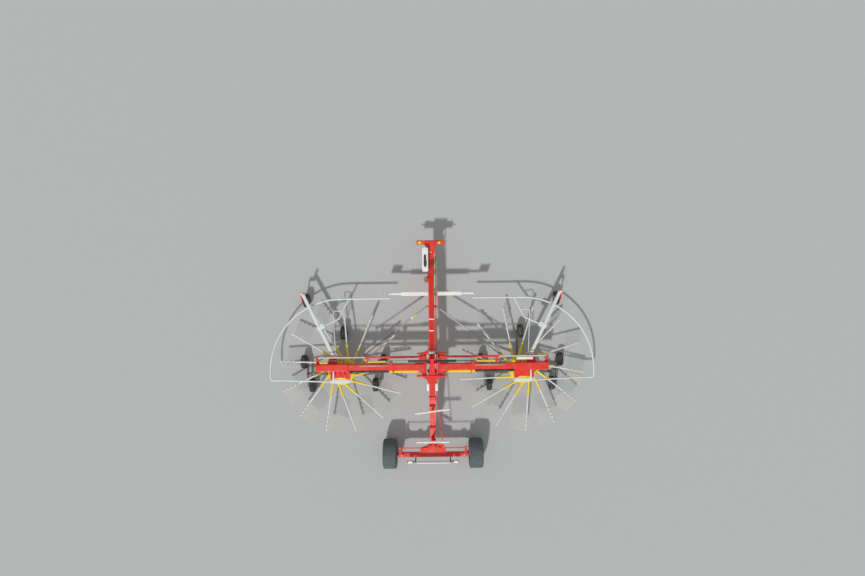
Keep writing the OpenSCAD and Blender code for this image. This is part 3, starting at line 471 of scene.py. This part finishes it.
# Toolbox: a white moulded box with a lid, bolted to the left side of the drawbar. A rubber latch holds
# the lid down, over a dark oval that is sunk in it.
OVAL_Z = (1.0972, 1.0990)
LATCH = [(0.0, 0.0), (0.044, 0.0), (0.042, 0.006), (0.0, 0.007)]
LATCH_AT = (-0.160, 2.66, 1.1035)
LATCH_STRETCH = (1.0, 3.0, 1.0, 1.0)


def sunk_oval(finish):
    return finish.axis("Z").within(*OVAL_Z)


paint_node(weathered("white toolbox", WHITE, rough=0.45, dust=0.2, marks=[(sunk_oval, BLACK)]), "toolbox")
latch = lathe(LATCH, 36)
latch.data.transform(Matrix.Translation(LATCH_AT) @ Matrix.Diagonal(LATCH_STRETCH))
settle(latch, "toolbox_latch", black_rubber, "frame")

# Parking jack: a grey painted steel leg that slides in the drawbar's tube, wound by a crank of bent
# plated rod that comes out of the tube's cap.
CRANK = [
    (-0.128, 2.2, 1.115), (-0.128, 2.2, 1.165), (-0.132, 2.205, 1.172), (-0.215, 2.26, 1.172),
    (-0.22, 2.265, 1.180), (-0.22, 2.265, 1.25),
]
CRANK_R = 0.008

paint_node(weathered("grey painted jack", rgb(128, 130, 130), rough=0.4, dust=0.3), "jack_leg")
settle(wire(CRANK, CRANK_R, 3), "jack_crank", bolt_zinc, "frame", 60.0)

# Warning boards: white sheet steel with slanted red stripes, riveted to the ends of a white carrier
# tube that is clamped under the drawbar. The tube itself has no stripes.
BOARD_FROM = (1.1585, 1.8043)
BOARD_TUBE_TO = 1.2103
BOARD_TUBE_Z = (0.7728, 0.8172)
STRIPES_A_METRE = 7.0


def stripes(finish):
    out = abs(finish.axis("X"))
    slant = (out + finish.axis("Z")) * STRIPES_A_METRE
    board = out.past(BOARD_FROM[0]) * finish.axis("Y").past(BOARD_FROM[1])
    tube = (1.0 - out.past(BOARD_TUBE_TO)) * finish.axis("Z").within(*BOARD_TUBE_Z)
    return slant.part().past(0.5, 0.01) * board * (1.0 - tube)


board_marks = [(stripes, rgb(206, 30, 26))]
boards = weathered("white carrier and striped boards", WHITE, rough=0.4, dust=0.25, marks=board_marks)
paint_node(boards, "front_boards")

# Racks and boxes on the rear beam: two toothed bars of white coated steel on posts, which take the
# outer tine arms for the road, and a white moulded box on each side behind the hinges.
BOX_X = (-0.157, 0.081)
BOX_WIDTH = 0.076

paint_node(white_paint, "arm_racks")
side_boxes = [box_piece((x, -0.93, 0.972), (x + BOX_WIDTH, -0.72, 1.052), bevel=0.012) for x in BOX_X]
settle(joined(side_boxes), "side_boxes", white_paint, "frame")

# Lamps: a white board and two lamp carriers on a black tube behind the axle. Each lamp has a red and
# an amber moulded lens, two round red reflectors are glued to the board, and small amber ones to the
# sides of the long beam.
BRACKET_X = (0.4706, 0.5894)
TUBE_END_X = 0.7105
BOARD_LOW_Z = 0.72965
LENS_Y = (-3.026, -3.0145)
LENS_Z = (0.742, 0.858)
RED_LENS = (0.62, 0.026)
AMBER_LENS = (0.679, 0.027)
REFLECTOR_AT = (0.41, -3.026, 0.80)
SIDE_REFLECTOR_X = (-0.0822, 0.0822)
SIDE_REFLECTOR_YZ = ((-1.9, 0.76), (1.15, 0.96))


def carrier(finish):
    """The black tube where no board covers it, and its brackets below the board."""
    out = abs(finish.axis("X"))
    tube = out.within(*BRACKET_X).either(out.past(TUBE_END_X))
    return tube.either(1.0 - finish.axis("Z").past(BOARD_LOW_Z, 0.00015))


def lenses(x, half):
    """A pair of lenses, one on each lamp, x away from the middle and twice as wide as half."""
    (back, front), (low, high) = LENS_Y, LENS_Z
    return [box_piece((sign * x - half, back, low), (sign * x + half, front, high)) for sign in (-1, 1)]


lamp_paint = weathered("white lamp board", WHITE, rough=0.4, dust=0.25, marks=[(carrier, BLACK)])
paint_node(lamp_paint, "lamp_board")
lens_red = weathered("red lens", rgb(190, 18, 16), rough=0.12, dust=0.1)
lens_amber = weathered("amber lens", rgb(240, 130, 14), rough=0.12, dust=0.1)
reds = lenses(*RED_LENS)
for sign in (-1, 1):
    bpy.ops.mesh.primitive_cylinder_add(vertices=32, radius=0.032, depth=0.012)
    x, y, z = REFLECTOR_AT
    bpy.context.object.data.transform(toward(BACK, (sign * x, y, z)))
    reds.append(bpy.context.object)
settle(joined(reds), "red_lenses", lens_red, "frame")
settle(joined(lenses(*AMBER_LENS)), "amber_lenses", lens_amber, "frame")
side_lenses = [
    box_piece((x - 0.002, y - 0.045, z - 0.02), (x + 0.002, y + 0.045, z + 0.02), bevel=0.001)
    for x in SIDE_REFLECTOR_X for y, z in SIDE_REFLECTOR_YZ
]
settle(joined(side_lenses), "side_reflectors", lens_amber, "frame")

# Steering: rod, bell crank, tie rods and knuckles are forged or welded steel, coated red like the
# frame. Their eyes hang on pins with self-locking nuts.
SIDES = {"left": -1.0, "right": 1.0}
STEER_PIN_TOPS = [(0.125, 2.97, 0.9603), (0.3, -2.58, 0.7753)]
KINGPIN_TOP = (0.9, -2.85, 0.65)
TIE_PIN_TOP = (0.95, -2.62, 0.7247)


def both(*names):
    """The names of a piece's left and right nodes."""
    return [f"{name}_{side}" for name in names for side in SIDES]


def outward(sign, at):
    """A place given for the right side, on the side of the sign."""
    return (sign * at[0], at[1], at[2])


paint_node(red_paint, "steer_rod", "bell_crank", *both("tie_rod", "knuckle"))
bolts("steer_rod_nuts", 0.014, [toward(UP, at) for at in STEER_PIN_TOPS], "steer_rod")
for side, sign in SIDES.items():
    bolts(f"kingpin_nut_{side}", 0.022, [toward(UP, outward(sign, KINGPIN_TOP))], f"knuckle_{side}")
    bolts(f"tie_rod_nut_{side}", 0.013, [toward(UP, outward(sign, TIE_PIN_TOP))], f"tie_rod_{side}")

# Road wheels: pressed steel rims painted white, held by six wheel bolts, with wide implement tyres.
# A tyre is moulded rubber with ribbed walls and two rows of slanted blocks that meet at the crown.
ROAD_AT = (1.245, -2.85, 0.43)
# Radius and distance from the middle plane of a tyre's half, from the bead to the crown
TYRE_SIDE = [
    (0.2143, 0.160), (0.230, 0.160), (0.236, 0.178), (0.252, 0.187), (0.256, 0.1915), (0.262, 0.1925),
    (0.266, 0.191), (0.300, 0.197), (0.303, 0.200), (0.309, 0.200), (0.312, 0.1975), (0.340, 0.198),
    (0.362, 0.194), (0.366, 0.1965), (0.376, 0.193), (0.398, 0.176), (0.410, 0.150), (0.416, 0.080),
]
TYRE_OUTLINE = TYRE_SIDE + [(0.418, 0.0)] + [(r, -z) for r, z in reversed(TYRE_SIDE)]
LUGS = 34
LUG_SIZE = (0.024, 0.036, 0.17, 1.0)
LUG_AT = (0.4120, 0.0, 0.098)
LUG_SLANT = math.radians(28)
LUG_TIP = math.radians(-3)
WHEEL_BOLT_X = 1.305
tyre_rubber = weathered("dusty tyre rubber", rgb(88, 98, 100), rough=0.8, dust=0.25, fade=0.1, grain=0.001)
paint_node(weathered("white wheel paint", rgb(222, 222, 216), rough=0.4, dust=0.4), *both("road_rim"))


def road_lug():
    """One slanted block of the tread, from the crown to the shoulder."""
    deselect()
    bpy.ops.mesh.primitive_cube_add(size=1.0)
    lug = bpy.context.object
    lug.data.transform(Matrix.Diagonal(LUG_SIZE))
    take_edges_off(lug, 0.006)
    slant = Matrix.Rotation(LUG_SLANT, 4, "X")
    tip = Matrix.Rotation(LUG_TIP, 4, "Y")
    lug.data.transform(Matrix.Translation(LUG_AT) @ tip @ slant)
    return lug


def around(count, radius, first=0.0):
    """Pairs of offsets evenly round a circle, the first one turned by a part of the step."""
    turns = [math.tau * (i + first) / count for i in range(count)]
    return [(radius * math.cos(turn), radius * math.sin(turn)) for turn in turns]


for side, sign in SIDES.items():
    step = math.tau / LUGS
    one_row = [Matrix.Rotation(i * step, 4, "Z") for i in range(LUGS)]
    half_step = Matrix.Rotation(step / 2, 4, "Z")
    flip = Matrix.Rotation(math.pi, 4, "X")
    other_row = [half_step @ turn @ flip for turn in one_row]
    tyre = joined([lathe(TYRE_OUTLINE, 72), copies(road_lug(), one_row + other_row)])
    tyre.data.transform(toward((sign, 0, 0), outward(sign, ROAD_AT)))
    settle(tyre, f"road_tyre_treaded_{side}", tyre_rubber, f"road_wheel_{side}", 30.0)
    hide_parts(f"road_tyre_{side}")
    wheel_bolts = [
        toward((sign, 0, 0), (sign * WHEEL_BOLT_X, ROAD_AT[1] + y, ROAD_AT[2] + z))
        for y, z in around(count=6, radius=0.07)
    ]
    bolts(f"wheel_bolts_{side}", 0.016, wheel_bolts, f"road_wheel_{side}")

# Booms: red coated box tube, folded up by black cylinders with ground rods. A thin white line along
# the top is part white stripe and part painted highlight.
# The drive shaft turns in a yellow plastic tube behind the boom. In front lie the sliding cylinder's
# plated pipes and the yellow tube that holds the papers.
LINE_LOW, LINE_HIGH = (1.2, -0.225, 1.0598), (2.03, -0.205, 1.0602)
TUBE = [(0.0, 0.0), (0.027, 0.0), (0.027, 0.46), (0.033, 0.462), (0.033, 0.53), (0.0, 0.53)]
TUBE_FROM = {"left": 1.29, "right": 1.25}
TUBE_YZ = (-0.105, 1.0)
BOOM_PIPE_R = 0.006
# Height of each pipe along the boom, and how much further out its end lies
BOOM_PIPES = [(0.925, 0.0), (0.945, 0.03)]
yellow_plastic = weathered("yellow moulded plastic", rgb(240, 206, 26), rough=0.45, dust=0.25)
# Black for the lift cylinders, and painted shade on the left carriage's bar.
black_paint_and_shade = weathered("black satin paint and painted shade", BLACK, rough=0.42, dust=0.3)
ground_rod = weathered("ground steel rod", rgb(120, 123, 126), rough=0.28, metal=0.9, dust=0.1)
pipe_steel = weathered("plated hydraulic pipe", rgb(196, 190, 150), rough=0.3, metal=0.8, dust=0.15)
paint_node(red_paint, *both("boom"))
paint_node(yellow_plastic, *both("boom_drive"))
paint_node(black_paint_and_shade, *both("lift_barrel"))
paint_node(ground_rod, *both("lift_rod"))


def side_box(sign, low, high, bevel):
    """A box given for the right side, on the side of the sign."""
    left, right = sorted((sign * low[0], sign * high[0]))
    return box_piece((left, low[1], low[2]), (right, high[1], high[2]), bevel)


for side, sign in SIDES.items():
    # The white line on the boom's top is part stripe and part painted highlight of the glossy top.
    line = side_box(sign, LINE_LOW, LINE_HIGH, bevel=0.0001)
    settle(line, f"boom_line_{side}", white_paint, f"boom_{side}")
    tube = lathe(TUBE, 32)
    tube.data.transform(toward((sign, 0, 0), (sign * TUBE_FROM[side], *TUBE_YZ)))
    settle(tube, f"boom_tube_{side}", yellow_plastic, f"boom_{side}", 30.0)
    runs = []
    for up, out in BOOM_PIPES:
        run = [(0.42, -0.170, up), (0.50, -0.172, up), (1.70, -0.172, up), (1.74, -0.165, up)]
        run += [(1.755, -0.14, up), (1.755 + out, -0.03, up + 0.01), (1.76 + out, 0.0, 0.975)]
        runs.append(wire([outward(sign, at) for at in run], BOOM_PIPE_R, 2))
    settle(joined(runs), f"boom_pipes_{side}", pipe_steel, f"boom_{side}", 60.0)

# Steadying struts: galvanised tubes with ground rods sliding in them, from a ball on the drawbar to an
# eye under each boom. Two plastic bands, one yellow and one white, are pressed onto the left one.
STRUT_FROM = Vector((-0.150, 1.420, 0.600))
STRUT_TO = Vector((-1.900, 0.080, 0.860))
BAND = [(0.0225, 0.0), (0.031, 0.002), (0.031, 0.098), (0.0225, 0.1)]
# Name, distance from the ball, finish and slot of each band
BANDS = [("yellow", 0.36, yellow_plastic, "guard_plastic"), ("white", 0.47, white_paint, "white_paint")]

strut_zinc = weathered("galvanised strut", rgb(176, 182, 182), rough=0.4, metal=0.4)
paint_node(strut_zinc, *both("strut_tube"))
paint_node(ground_rod, *both("strut_rod"))
way = (STRUT_TO - STRUT_FROM).normalized()
for name, start, finish, slot in BANDS:
    band = lathe(BAND, 28)
    band.data.transform(toward(way, STRUT_FROM + way * start))
    settle(band, f"strut_band_{name}", finish, "strut_tube_left")

# Carriages: red coated sleeves that slide on the booms, pulled by the bright rod of a cylinder. The
# rotor's gearbox is bolted under each, with its black shaft. Beside the rod there is a white cover on
# the right, and on the left a bar with six bolts, coloured black as painted shade.
ROTOR_AT = (2.6, -0.4)
SLIDE_ROD_YZ = (0.02, 1.01)
SLIDE_ROD_TO = 3.2095
# Halfway between the rod's radius and the bracket's hole around it, squared
SLIDE_ROD_RR = 0.000305
SHAFT_TO = 2.475
# Bolts of the gearbox's flange, of the bracket in front, of the arms' ends behind and of the head
GEARBOX_FLANGE_Z = 0.716
BRACKET_FACE_Y = 0.068
BRACKET_BOLT_X = (2.742, 2.878)
BRACKET_BOLT_Z = (0.79, 0.85)
ARM_BOLT_X = (2.33, 2.845)
ARM_BOLT_Y = (-0.685, -0.635)
ARM_TOP_Z = 0.9613
HEAD_BOLT_X = (-0.265, 0.255)
HEAD_BOLT_Y = -0.58
HEAD_TOP_Z = 0.925
COVER_STAY_X = (2.47, 2.75)
COVER_STAY_WIDTH = 0.03
ROD_COVER = ((2.38, -0.085, 0.9662), (2.84, -0.012, 0.990))
STOP_BAR = ((-2.90, -0.080, 0.9662), (-2.43, -0.048, 0.988))
STOP_BOLTS = 6
STOP_BOLT_STEP = 0.078


def slide_rod(finish):
    """The bright rod of the sliding cylinder, as far as the bracket that it pulls on."""
    across = finish.axis("Y") - SLIDE_ROD_YZ[0]
    up = finish.axis("Z") - SLIDE_ROD_YZ[1]
    near = 1.0 - (across * across + up * up).past(SLIDE_ROD_RR, 0.000005)
    return near * (1.0 - abs(finish.axis("X")).past(SLIDE_ROD_TO, 0.0005))


def shaft(finish):
    """The shaft and its coupling, which run out of the gearbox towards the middle."""
    return 1.0 - abs(finish.axis("X")).past(SHAFT_TO, 0.001)


rod_marks = [(slide_rod, rgb(214, 216, 218))]
carriage_paint = weathered("red carriage and bright rod", RED, rough=0.34, dust=0.22, marks=rod_marks)
paint_node(carriage_paint, *both("carriage"))
gearbox_marks = [(shaft, BLACK)]
gearbox_paint = weathered("red gearbox and black shaft", RED, rough=0.34, dust=0.22, marks=gearbox_marks)
paint_node(gearbox_paint, *both("rotor_gearbox"))

for side, sign in SIDES.items():
    x0, y0 = sign * ROTOR_AT[0], ROTOR_AT[1]
    ring = around(count=8, radius=0.137, first=0.5)
    flange = [toward(UP, (x0 + x, y0 + y, GEARBOX_FLANGE_Z)) for x, y in ring]
    bracket = [toward(FRONT, (sign * x, BRACKET_FACE_Y, z)) for x in BRACKET_BOLT_X for z in BRACKET_BOLT_Z]
    arm_ends = [toward(UP, (sign * x, y, ARM_TOP_Z)) for x in ARM_BOLT_X for y in ARM_BOLT_Y]
    head = [toward(UP, (sign * (ROTOR_AT[0] + x), HEAD_BOLT_Y, HEAD_TOP_Z)) for x in HEAD_BOLT_X]
    bolts(f"carriage_bolts_{side}", 0.011, flange + bracket + arm_ends + head, f"carriage_{side}")
    stays = [
        side_box(sign, (x, -0.1597, 0.958), (x + COVER_STAY_WIDTH, -0.070, 0.966), bevel=0.001)
        for x in COVER_STAY_X
    ]
    settle(joined(stays), f"cover_stays_{side}", red_paint, f"carriage_{side}")

settle(box_piece(*ROD_COVER, bevel=0.006), "rod_cover_right", white_paint, "carriage_right")
# The left bar stands where the right has its white cover; its black is painted shade on this side.
settle(box_piece(*STOP_BAR), "stop_bar_painted_shade_left", black_paint_and_shade, "carriage_left")
stop_bolts = [toward(UP, (-2.47 - STOP_BOLT_STEP * i, -0.064, 0.988)) for i in range(STOP_BOLTS)]
bolts("stop_bar_bolts_left", 0.010, stop_bolts, "carriage_left")

# Guards: bent tube, dipped in zinc, around the front and the outer side of each rotor. Bolted sleeves
# join its lengths, a flat bar ties it to the carriage, and a thin bent rod steadies its branch. The red
# forks of the feeler wheels turn in the tubes at its tips.
SLEEVE_HALF = 0.03
# Bolts of the sleeves on the bow, at its rear end and at the branch, and of the clamp on the bar
GUARD_BOLTS = [(2.6 + x, 1.66, 0.5875) for x in (-SLEEVE_HALF, SLEEVE_HALF)]
GUARD_BOLTS += [(4.66, -0.4 + y, 0.5875) for y in (-SLEEVE_HALF, SLEEVE_HALF)]
GUARD_BOLTS += [(4.36 + x, -0.67, 0.5875) for x in (-SLEEVE_HALF, SLEEVE_HALF)]
GUARD_BOLTS += [(2.38 + x, 1.66, 0.5915) for x in (-SLEEVE_HALF, SLEEVE_HALF)]
GUARD_BOLTS += [(3.14, 0.80, 0.807), (3.18, 0.88, 0.807), (3.08, 0.83, 0.807), (3.12, 0.91, 0.807)]
GUARD_STAY = [
    (2.735, 0.060, 0.820), (2.742, 0.160, 0.814), (2.812, 1.220, 0.696), (2.812, 1.262, 0.690),
    (2.800, 1.296, 0.684), (2.774, 1.318, 0.676), (2.740, 1.324, 0.670), (2.556, 1.300, 0.648),
]
GUARD_STAY_R = 0.013

galvanised = weathered("galvanised tube", rgb(220, 223, 221), rough=0.6, metal=0.15, dust=0.18, fade=0.35)
paint_node(galvanised, *both("guard"))
paint_node(red_paint, *both("feeler_fork"))
for side, sign in SIDES.items():
    body = f"carriage_{side}"
    bolts(f"guard_bolts_{side}", 0.008, [toward(UP, outward(sign, at)) for at in GUARD_BOLTS], body)
    tie = [
        side_box(sign, (2.757, -0.700, 0.9615), (2.805, -0.355, 0.9695), bevel=0.002),
        side_box(sign, (2.765, -0.366, 0.930), (2.797, -0.3603, 0.9620), bevel=0.002),
    ]
    settle(joined(tie), f"guard_tie_{side}", galvanised, body)
    stay = wire([outward(sign, at) for at in GUARD_STAY], GUARD_STAY_R, 3)
    settle(stay, f"guard_stay_{side}", galvanised, body, 60.0)

# Running gear: a grey painted frame of box tube and arched beams under each rotor, on five small
# wheels, and one more wheel in each feeler fork. They are ribbed pneumatic tyres on pressed discs,
# and nuts hold them on their stub axles.
SMALL_R = 0.2
SMALL_OUTLINE = [
    (0.092, -0.048), (0.105, -0.066), (0.130, -0.074), (0.165, -0.074), (0.182, -0.066), (0.190, -0.052),
    (0.196, -0.048), (0.198, -0.034), (0.191, -0.030), (0.191, -0.024), (0.199, -0.020), (0.200, 0.000),
    (0.199, 0.020), (0.191, 0.024), (0.191, 0.030), (0.198, 0.034), (0.196, 0.048), (0.190, 0.052),
    (0.182, 0.066), (0.165, 0.074), (0.130, 0.074), (0.105, 0.066), (0.092, 0.048),
]
DISC_OUTLINE = [
    (0.0155, -0.034), (0.034, -0.034), (0.038, -0.012), (0.078, -0.006), (0.091, -0.040), (0.103, -0.058),
    (0.098, -0.060), (0.083, -0.044), (0.091, 0.030), (0.104, 0.056), (0.099, 0.059), (0.084, 0.036),
    (0.074, 0.006), (0.038, 0.010), (0.034, 0.034), (0.0155, 0.034),
]
# Offset of each wheel from the rotor's centre, outward and forward, and the side of its stub axle
WHEELS = [(1.165, 0.22, -1), (0.925, -0.48, 1), (-0.925, -0.48, -1), (-1.165, 0.22, 1), (0.0, 1.06, -1)]
STUB_END = 0.03
FEELER_AT = (3.68, 1.62)
BEAM_PIVOT = (1.070, -0.13, 0.266)
small_rubber = weathered("small tyre rubber", rgb(46, 50, 54), rough=0.78, dust=0.35)
disc_grey = weathered("grey wheel disc", rgb(150, 152, 150), rough=0.45, metal=0.4, dust=0.4)
paint_node(weathered("grey running gear", CAST, rough=0.5, dust=0.4), *both("rotor_frame"))


def small_wheel(node, x, y):
    """A tyre and its disc in place of the frame's plain wheel, on the body of the same name."""
    place = toward((1, 0, 0), (x, y, SMALL_R))
    tyre = lathe(SMALL_OUTLINE, 48)
    tyre.data.transform(place)
    settle(tyre, f"{node}_tyre", small_rubber, node, 25.0)
    disc = lathe(DISC_OUTLINE, 32)
    # The disc folds over its inner flange, so its faces come out pointing inward
    disc.data.flip_normals()
    disc.data.transform(place)
    settle(disc, f"{node}_disc", disc_grey, node, 25.0)
    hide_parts(node)
    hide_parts(node)


for side, sign in SIDES.items():
    nuts = []
    for i, (out, ahead, stub) in enumerate(WHEELS, 1):
        x, y = ROTOR_AT[0] + out, ROTOR_AT[1] + ahead
        small_wheel(f"rotor_wheel_{i}_{side}", sign * x, y)
        nuts.append(toward((-stub * sign, 0, 0), (sign * (x - stub * STUB_END), y, SMALL_R)))
    bolts(f"stub_nuts_{side}", 0.015, nuts, f"carriage_{side}")
    small_wheel(f"feeler_wheel_{side}", sign * FEELER_AT[0], FEELER_AT[1])
    out, ahead, up = BEAM_PIVOT
    pivots = [
        toward((end, 0, 0), (sign * ROTOR_AT[0] + end * out, ROTOR_AT[1] + ahead, up)) for end in (-1, 1)
    ]
    bolts(f"beam_pins_{side}", 0.022, pivots, f"carriage_{side}")

# Rotor hubs: cast housings coated yellow that carry the arms' bearing tubes and hold the cam inside. A
# ring of twelve bolts closes the lid.
HUB_LID_Z = 0.667

paint_node(weathered("yellow powder coat", YELLOW, rough=0.36, dust=0.22), *both("rotor_hub"))
for side, sign in SIDES.items():
    x0, y0 = sign * ROTOR_AT[0], ROTOR_AT[1]
    lid = [toward(UP, (x0 + x, y0 + y, HUB_LID_Z)) for x, y in around(count=12, radius=0.27)]
    bolts(f"hub_bolts_{side}", 0.012, lid, f"rotor_{side}")

# Tine arms: thirteen galvanised tubes on each rotor, turned by the cam as they go round. Bent straps
# clamp four double tines of round spring wire under each. The tines hang in front and are laid back
# behind.
ARM_COUNT = 13
ARM_STEP = 360.0 / ARM_COUNT
ARM_OFFSET = 0.21
ARM_Z = 0.625
ARM_DROOP = math.radians(5)
ARM_R = 0.021
ARM_FROM = 0.76
ARM_TO = 1.82
FIRST_ARM = {"left": 2.0, "right": 17.05}
CAM_LEAD = 7.0
TINES = 4
TINE_STEP = 0.064
TINE_END_GAP = 0.025
TINE_LENGTH = 0.46
TINE_R = 0.005
KNEE = 0.23
TIP_LEAN = 0.055
COIL_AT = (-0.028, -0.012)
COIL_R = 0.0145
COIL_TURNS = 2
COIL_PITCH = 2 * TINE_R + 0.001
STEPS_A_TURN = 10
tine_steel = weathered("spring steel tines", rgb(224, 220, 200), rough=0.5, metal=0.1, dust=0.25)


def lay_back(direction):
    """How many degrees the cam has turned an arm's tines back from hanging, at the arm's direction on
    the right side, where 90 points forward."""
    angle = (direction + CAM_LEAD + 180.0) % 360.0 - 180.0
    if 25 < angle < 165:
        return 5.0
    if angle >= 0:
        return 45.0
    return 65.0 if angle > -12 or angle < -168 else 78.0


def double_tine():
    """Two prongs with a coil each, in one wire. The arm lies along X and the prongs hang along -Z."""
    half = TINE_STEP / 2
    back = COIL_AT[0] - COIL_R
    one = [
        (half, back + TIP_LEAN + 0.006, -TINE_LENGTH),
        (half, back + 0.010, -KNEE - 0.03),
        (half, back + 0.002, -KNEE + 0.03),
        (half, back, COIL_AT[1] - 0.02),
    ]
    steps = COIL_TURNS * STEPS_A_TURN
    for i in range(steps + 1):
        turns = COIL_TURNS * i / steps
        angle = math.pi - math.tau * turns
        y = COIL_AT[0] + COIL_R * math.cos(angle)
        z = COIL_AT[1] + COIL_R * math.sin(angle)
        one.append((half - COIL_PITCH * turns, y, z))
    other = [(-x, y, z) for x, y, z in reversed(one)]
    return wire(one + other, TINE_R)


def plain_plate(middle, size):
    """A strip of sheet steel with square edges, for the many small straps."""
    deselect()
    bpy.ops.mesh.primitive_cube_add(size=1.0)
    plate = bpy.context.object
    plate.data.transform(Matrix.Translation(middle) @ Matrix.Diagonal((*size, 1)))
    return plate


def tine_clamp():
    """The bent strap that holds a double tine under an arm, with its bolt."""
    top = plain_plate((0, -0.012, 0.0235), (0.026, 0.052, 0.005))
    leg = plain_plate((0, -0.0365, 0.004), (0.026, 0.005, 0.044))
    screw = bolt(0.009)
    screw.data.transform(Matrix.Translation((0, 0.0, 0.026)))
    return joined([top, leg, screw])


def arm_tube():
    """The outer length of an arm's tube, lying along X."""
    deselect()
    bpy.ops.mesh.primitive_cylinder_add(vertices=20, radius=ARM_R, depth=ARM_TO - ARM_FROM)
    tube = bpy.context.object
    tube.data.transform(Matrix.Rotation(math.pi / 2, 4, "Y"))
    tube.data.transform(Matrix.Translation(((ARM_FROM + ARM_TO) / 2, 0, 0)))
    return tube


for side, sign in SIDES.items():
    rotor = Matrix.Diagonal((sign, 1.0, 1.0, 1.0)) @ Matrix.Translation((*ROTOR_AT, 0.0))
    arms = []
    tines = []
    for k in range(ARM_COUNT):
        direction = FIRST_ARM[side] + k * ARM_STEP
        arm = rotor @ Matrix.Rotation(math.radians(direction), 4, "Z")
        arm = arm @ Matrix.Translation((0.0, ARM_OFFSET, ARM_Z)) @ Matrix.Rotation(ARM_DROOP, 4, "Y")
        arms.append(arm)
        laid = Matrix.Rotation(math.radians(-lay_back(direction)), 4, "X")
        for i in range(TINES):
            along = ARM_TO - TINE_END_GAP - TINE_STEP * (0.5 + 2 * i)
            tines.append(arm @ laid @ Matrix.Translation((along, 0.0, 0.0)))
    body = f"rotor_{side}"
    tubes = copies(arm_tube(), arms)
    settle(tubes, f"arm_tubes_{side}", galvanised, body)
    wires = copies(double_tine(), tines)
    settle(wires, f"spring_tines_{side}", tine_steel, body, 60.0)
    straps = copies(tine_clamp(), tines)
    settle(straps, f"tine_clamps_{side}", galvanised, body)
    for piece in (tubes, wires, straps):
        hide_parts(f"tine_arms_{side}")

# Light: a soft sun from behind on the left of the machine, as in the picture, and a pale sky that
# fills the shadows.
SUN_FROM = (-0.33, -0.82, 1.0)
SUN_ENERGY = 2.25
SKY_COLOUR = (0.9, 0.95, 1.0, 1.0)
SKY_STRENGTH = 0.48

bpy.ops.object.light_add(type="SUN")
sun = bpy.context.object
sun.rotation_mode = "QUATERNION"
sun.rotation_quaternion = Vector(SUN_FROM).to_track_quat("Z", "Y")
sun.data.energy = SUN_ENERGY
sun.data.angle = math.radians(3)
world = bpy.data.worlds.new("studio")
bpy.context.scene.world = world
world.use_nodes = True
sky = world.node_tree.nodes["Background"]
sky.inputs["Color"].default_value = SKY_COLOUR
sky.inputs["Strength"].default_value = SKY_STRENGTH

# Floor: one plain pale sheet on which the machine stands, wide enough for every view. It keeps the
# machine's shadow.
bpy.ops.mesh.primitive_plane_add(size=120.0)
floor = bpy.context.object
floor.name = "floor"
floor_finish = Finish("pale floor")
floor_finish.set(base_color=(0.46, 0.46, 0.45, 1.0), roughness=0.9)
floor.data.materials.append(floor_finish.material)
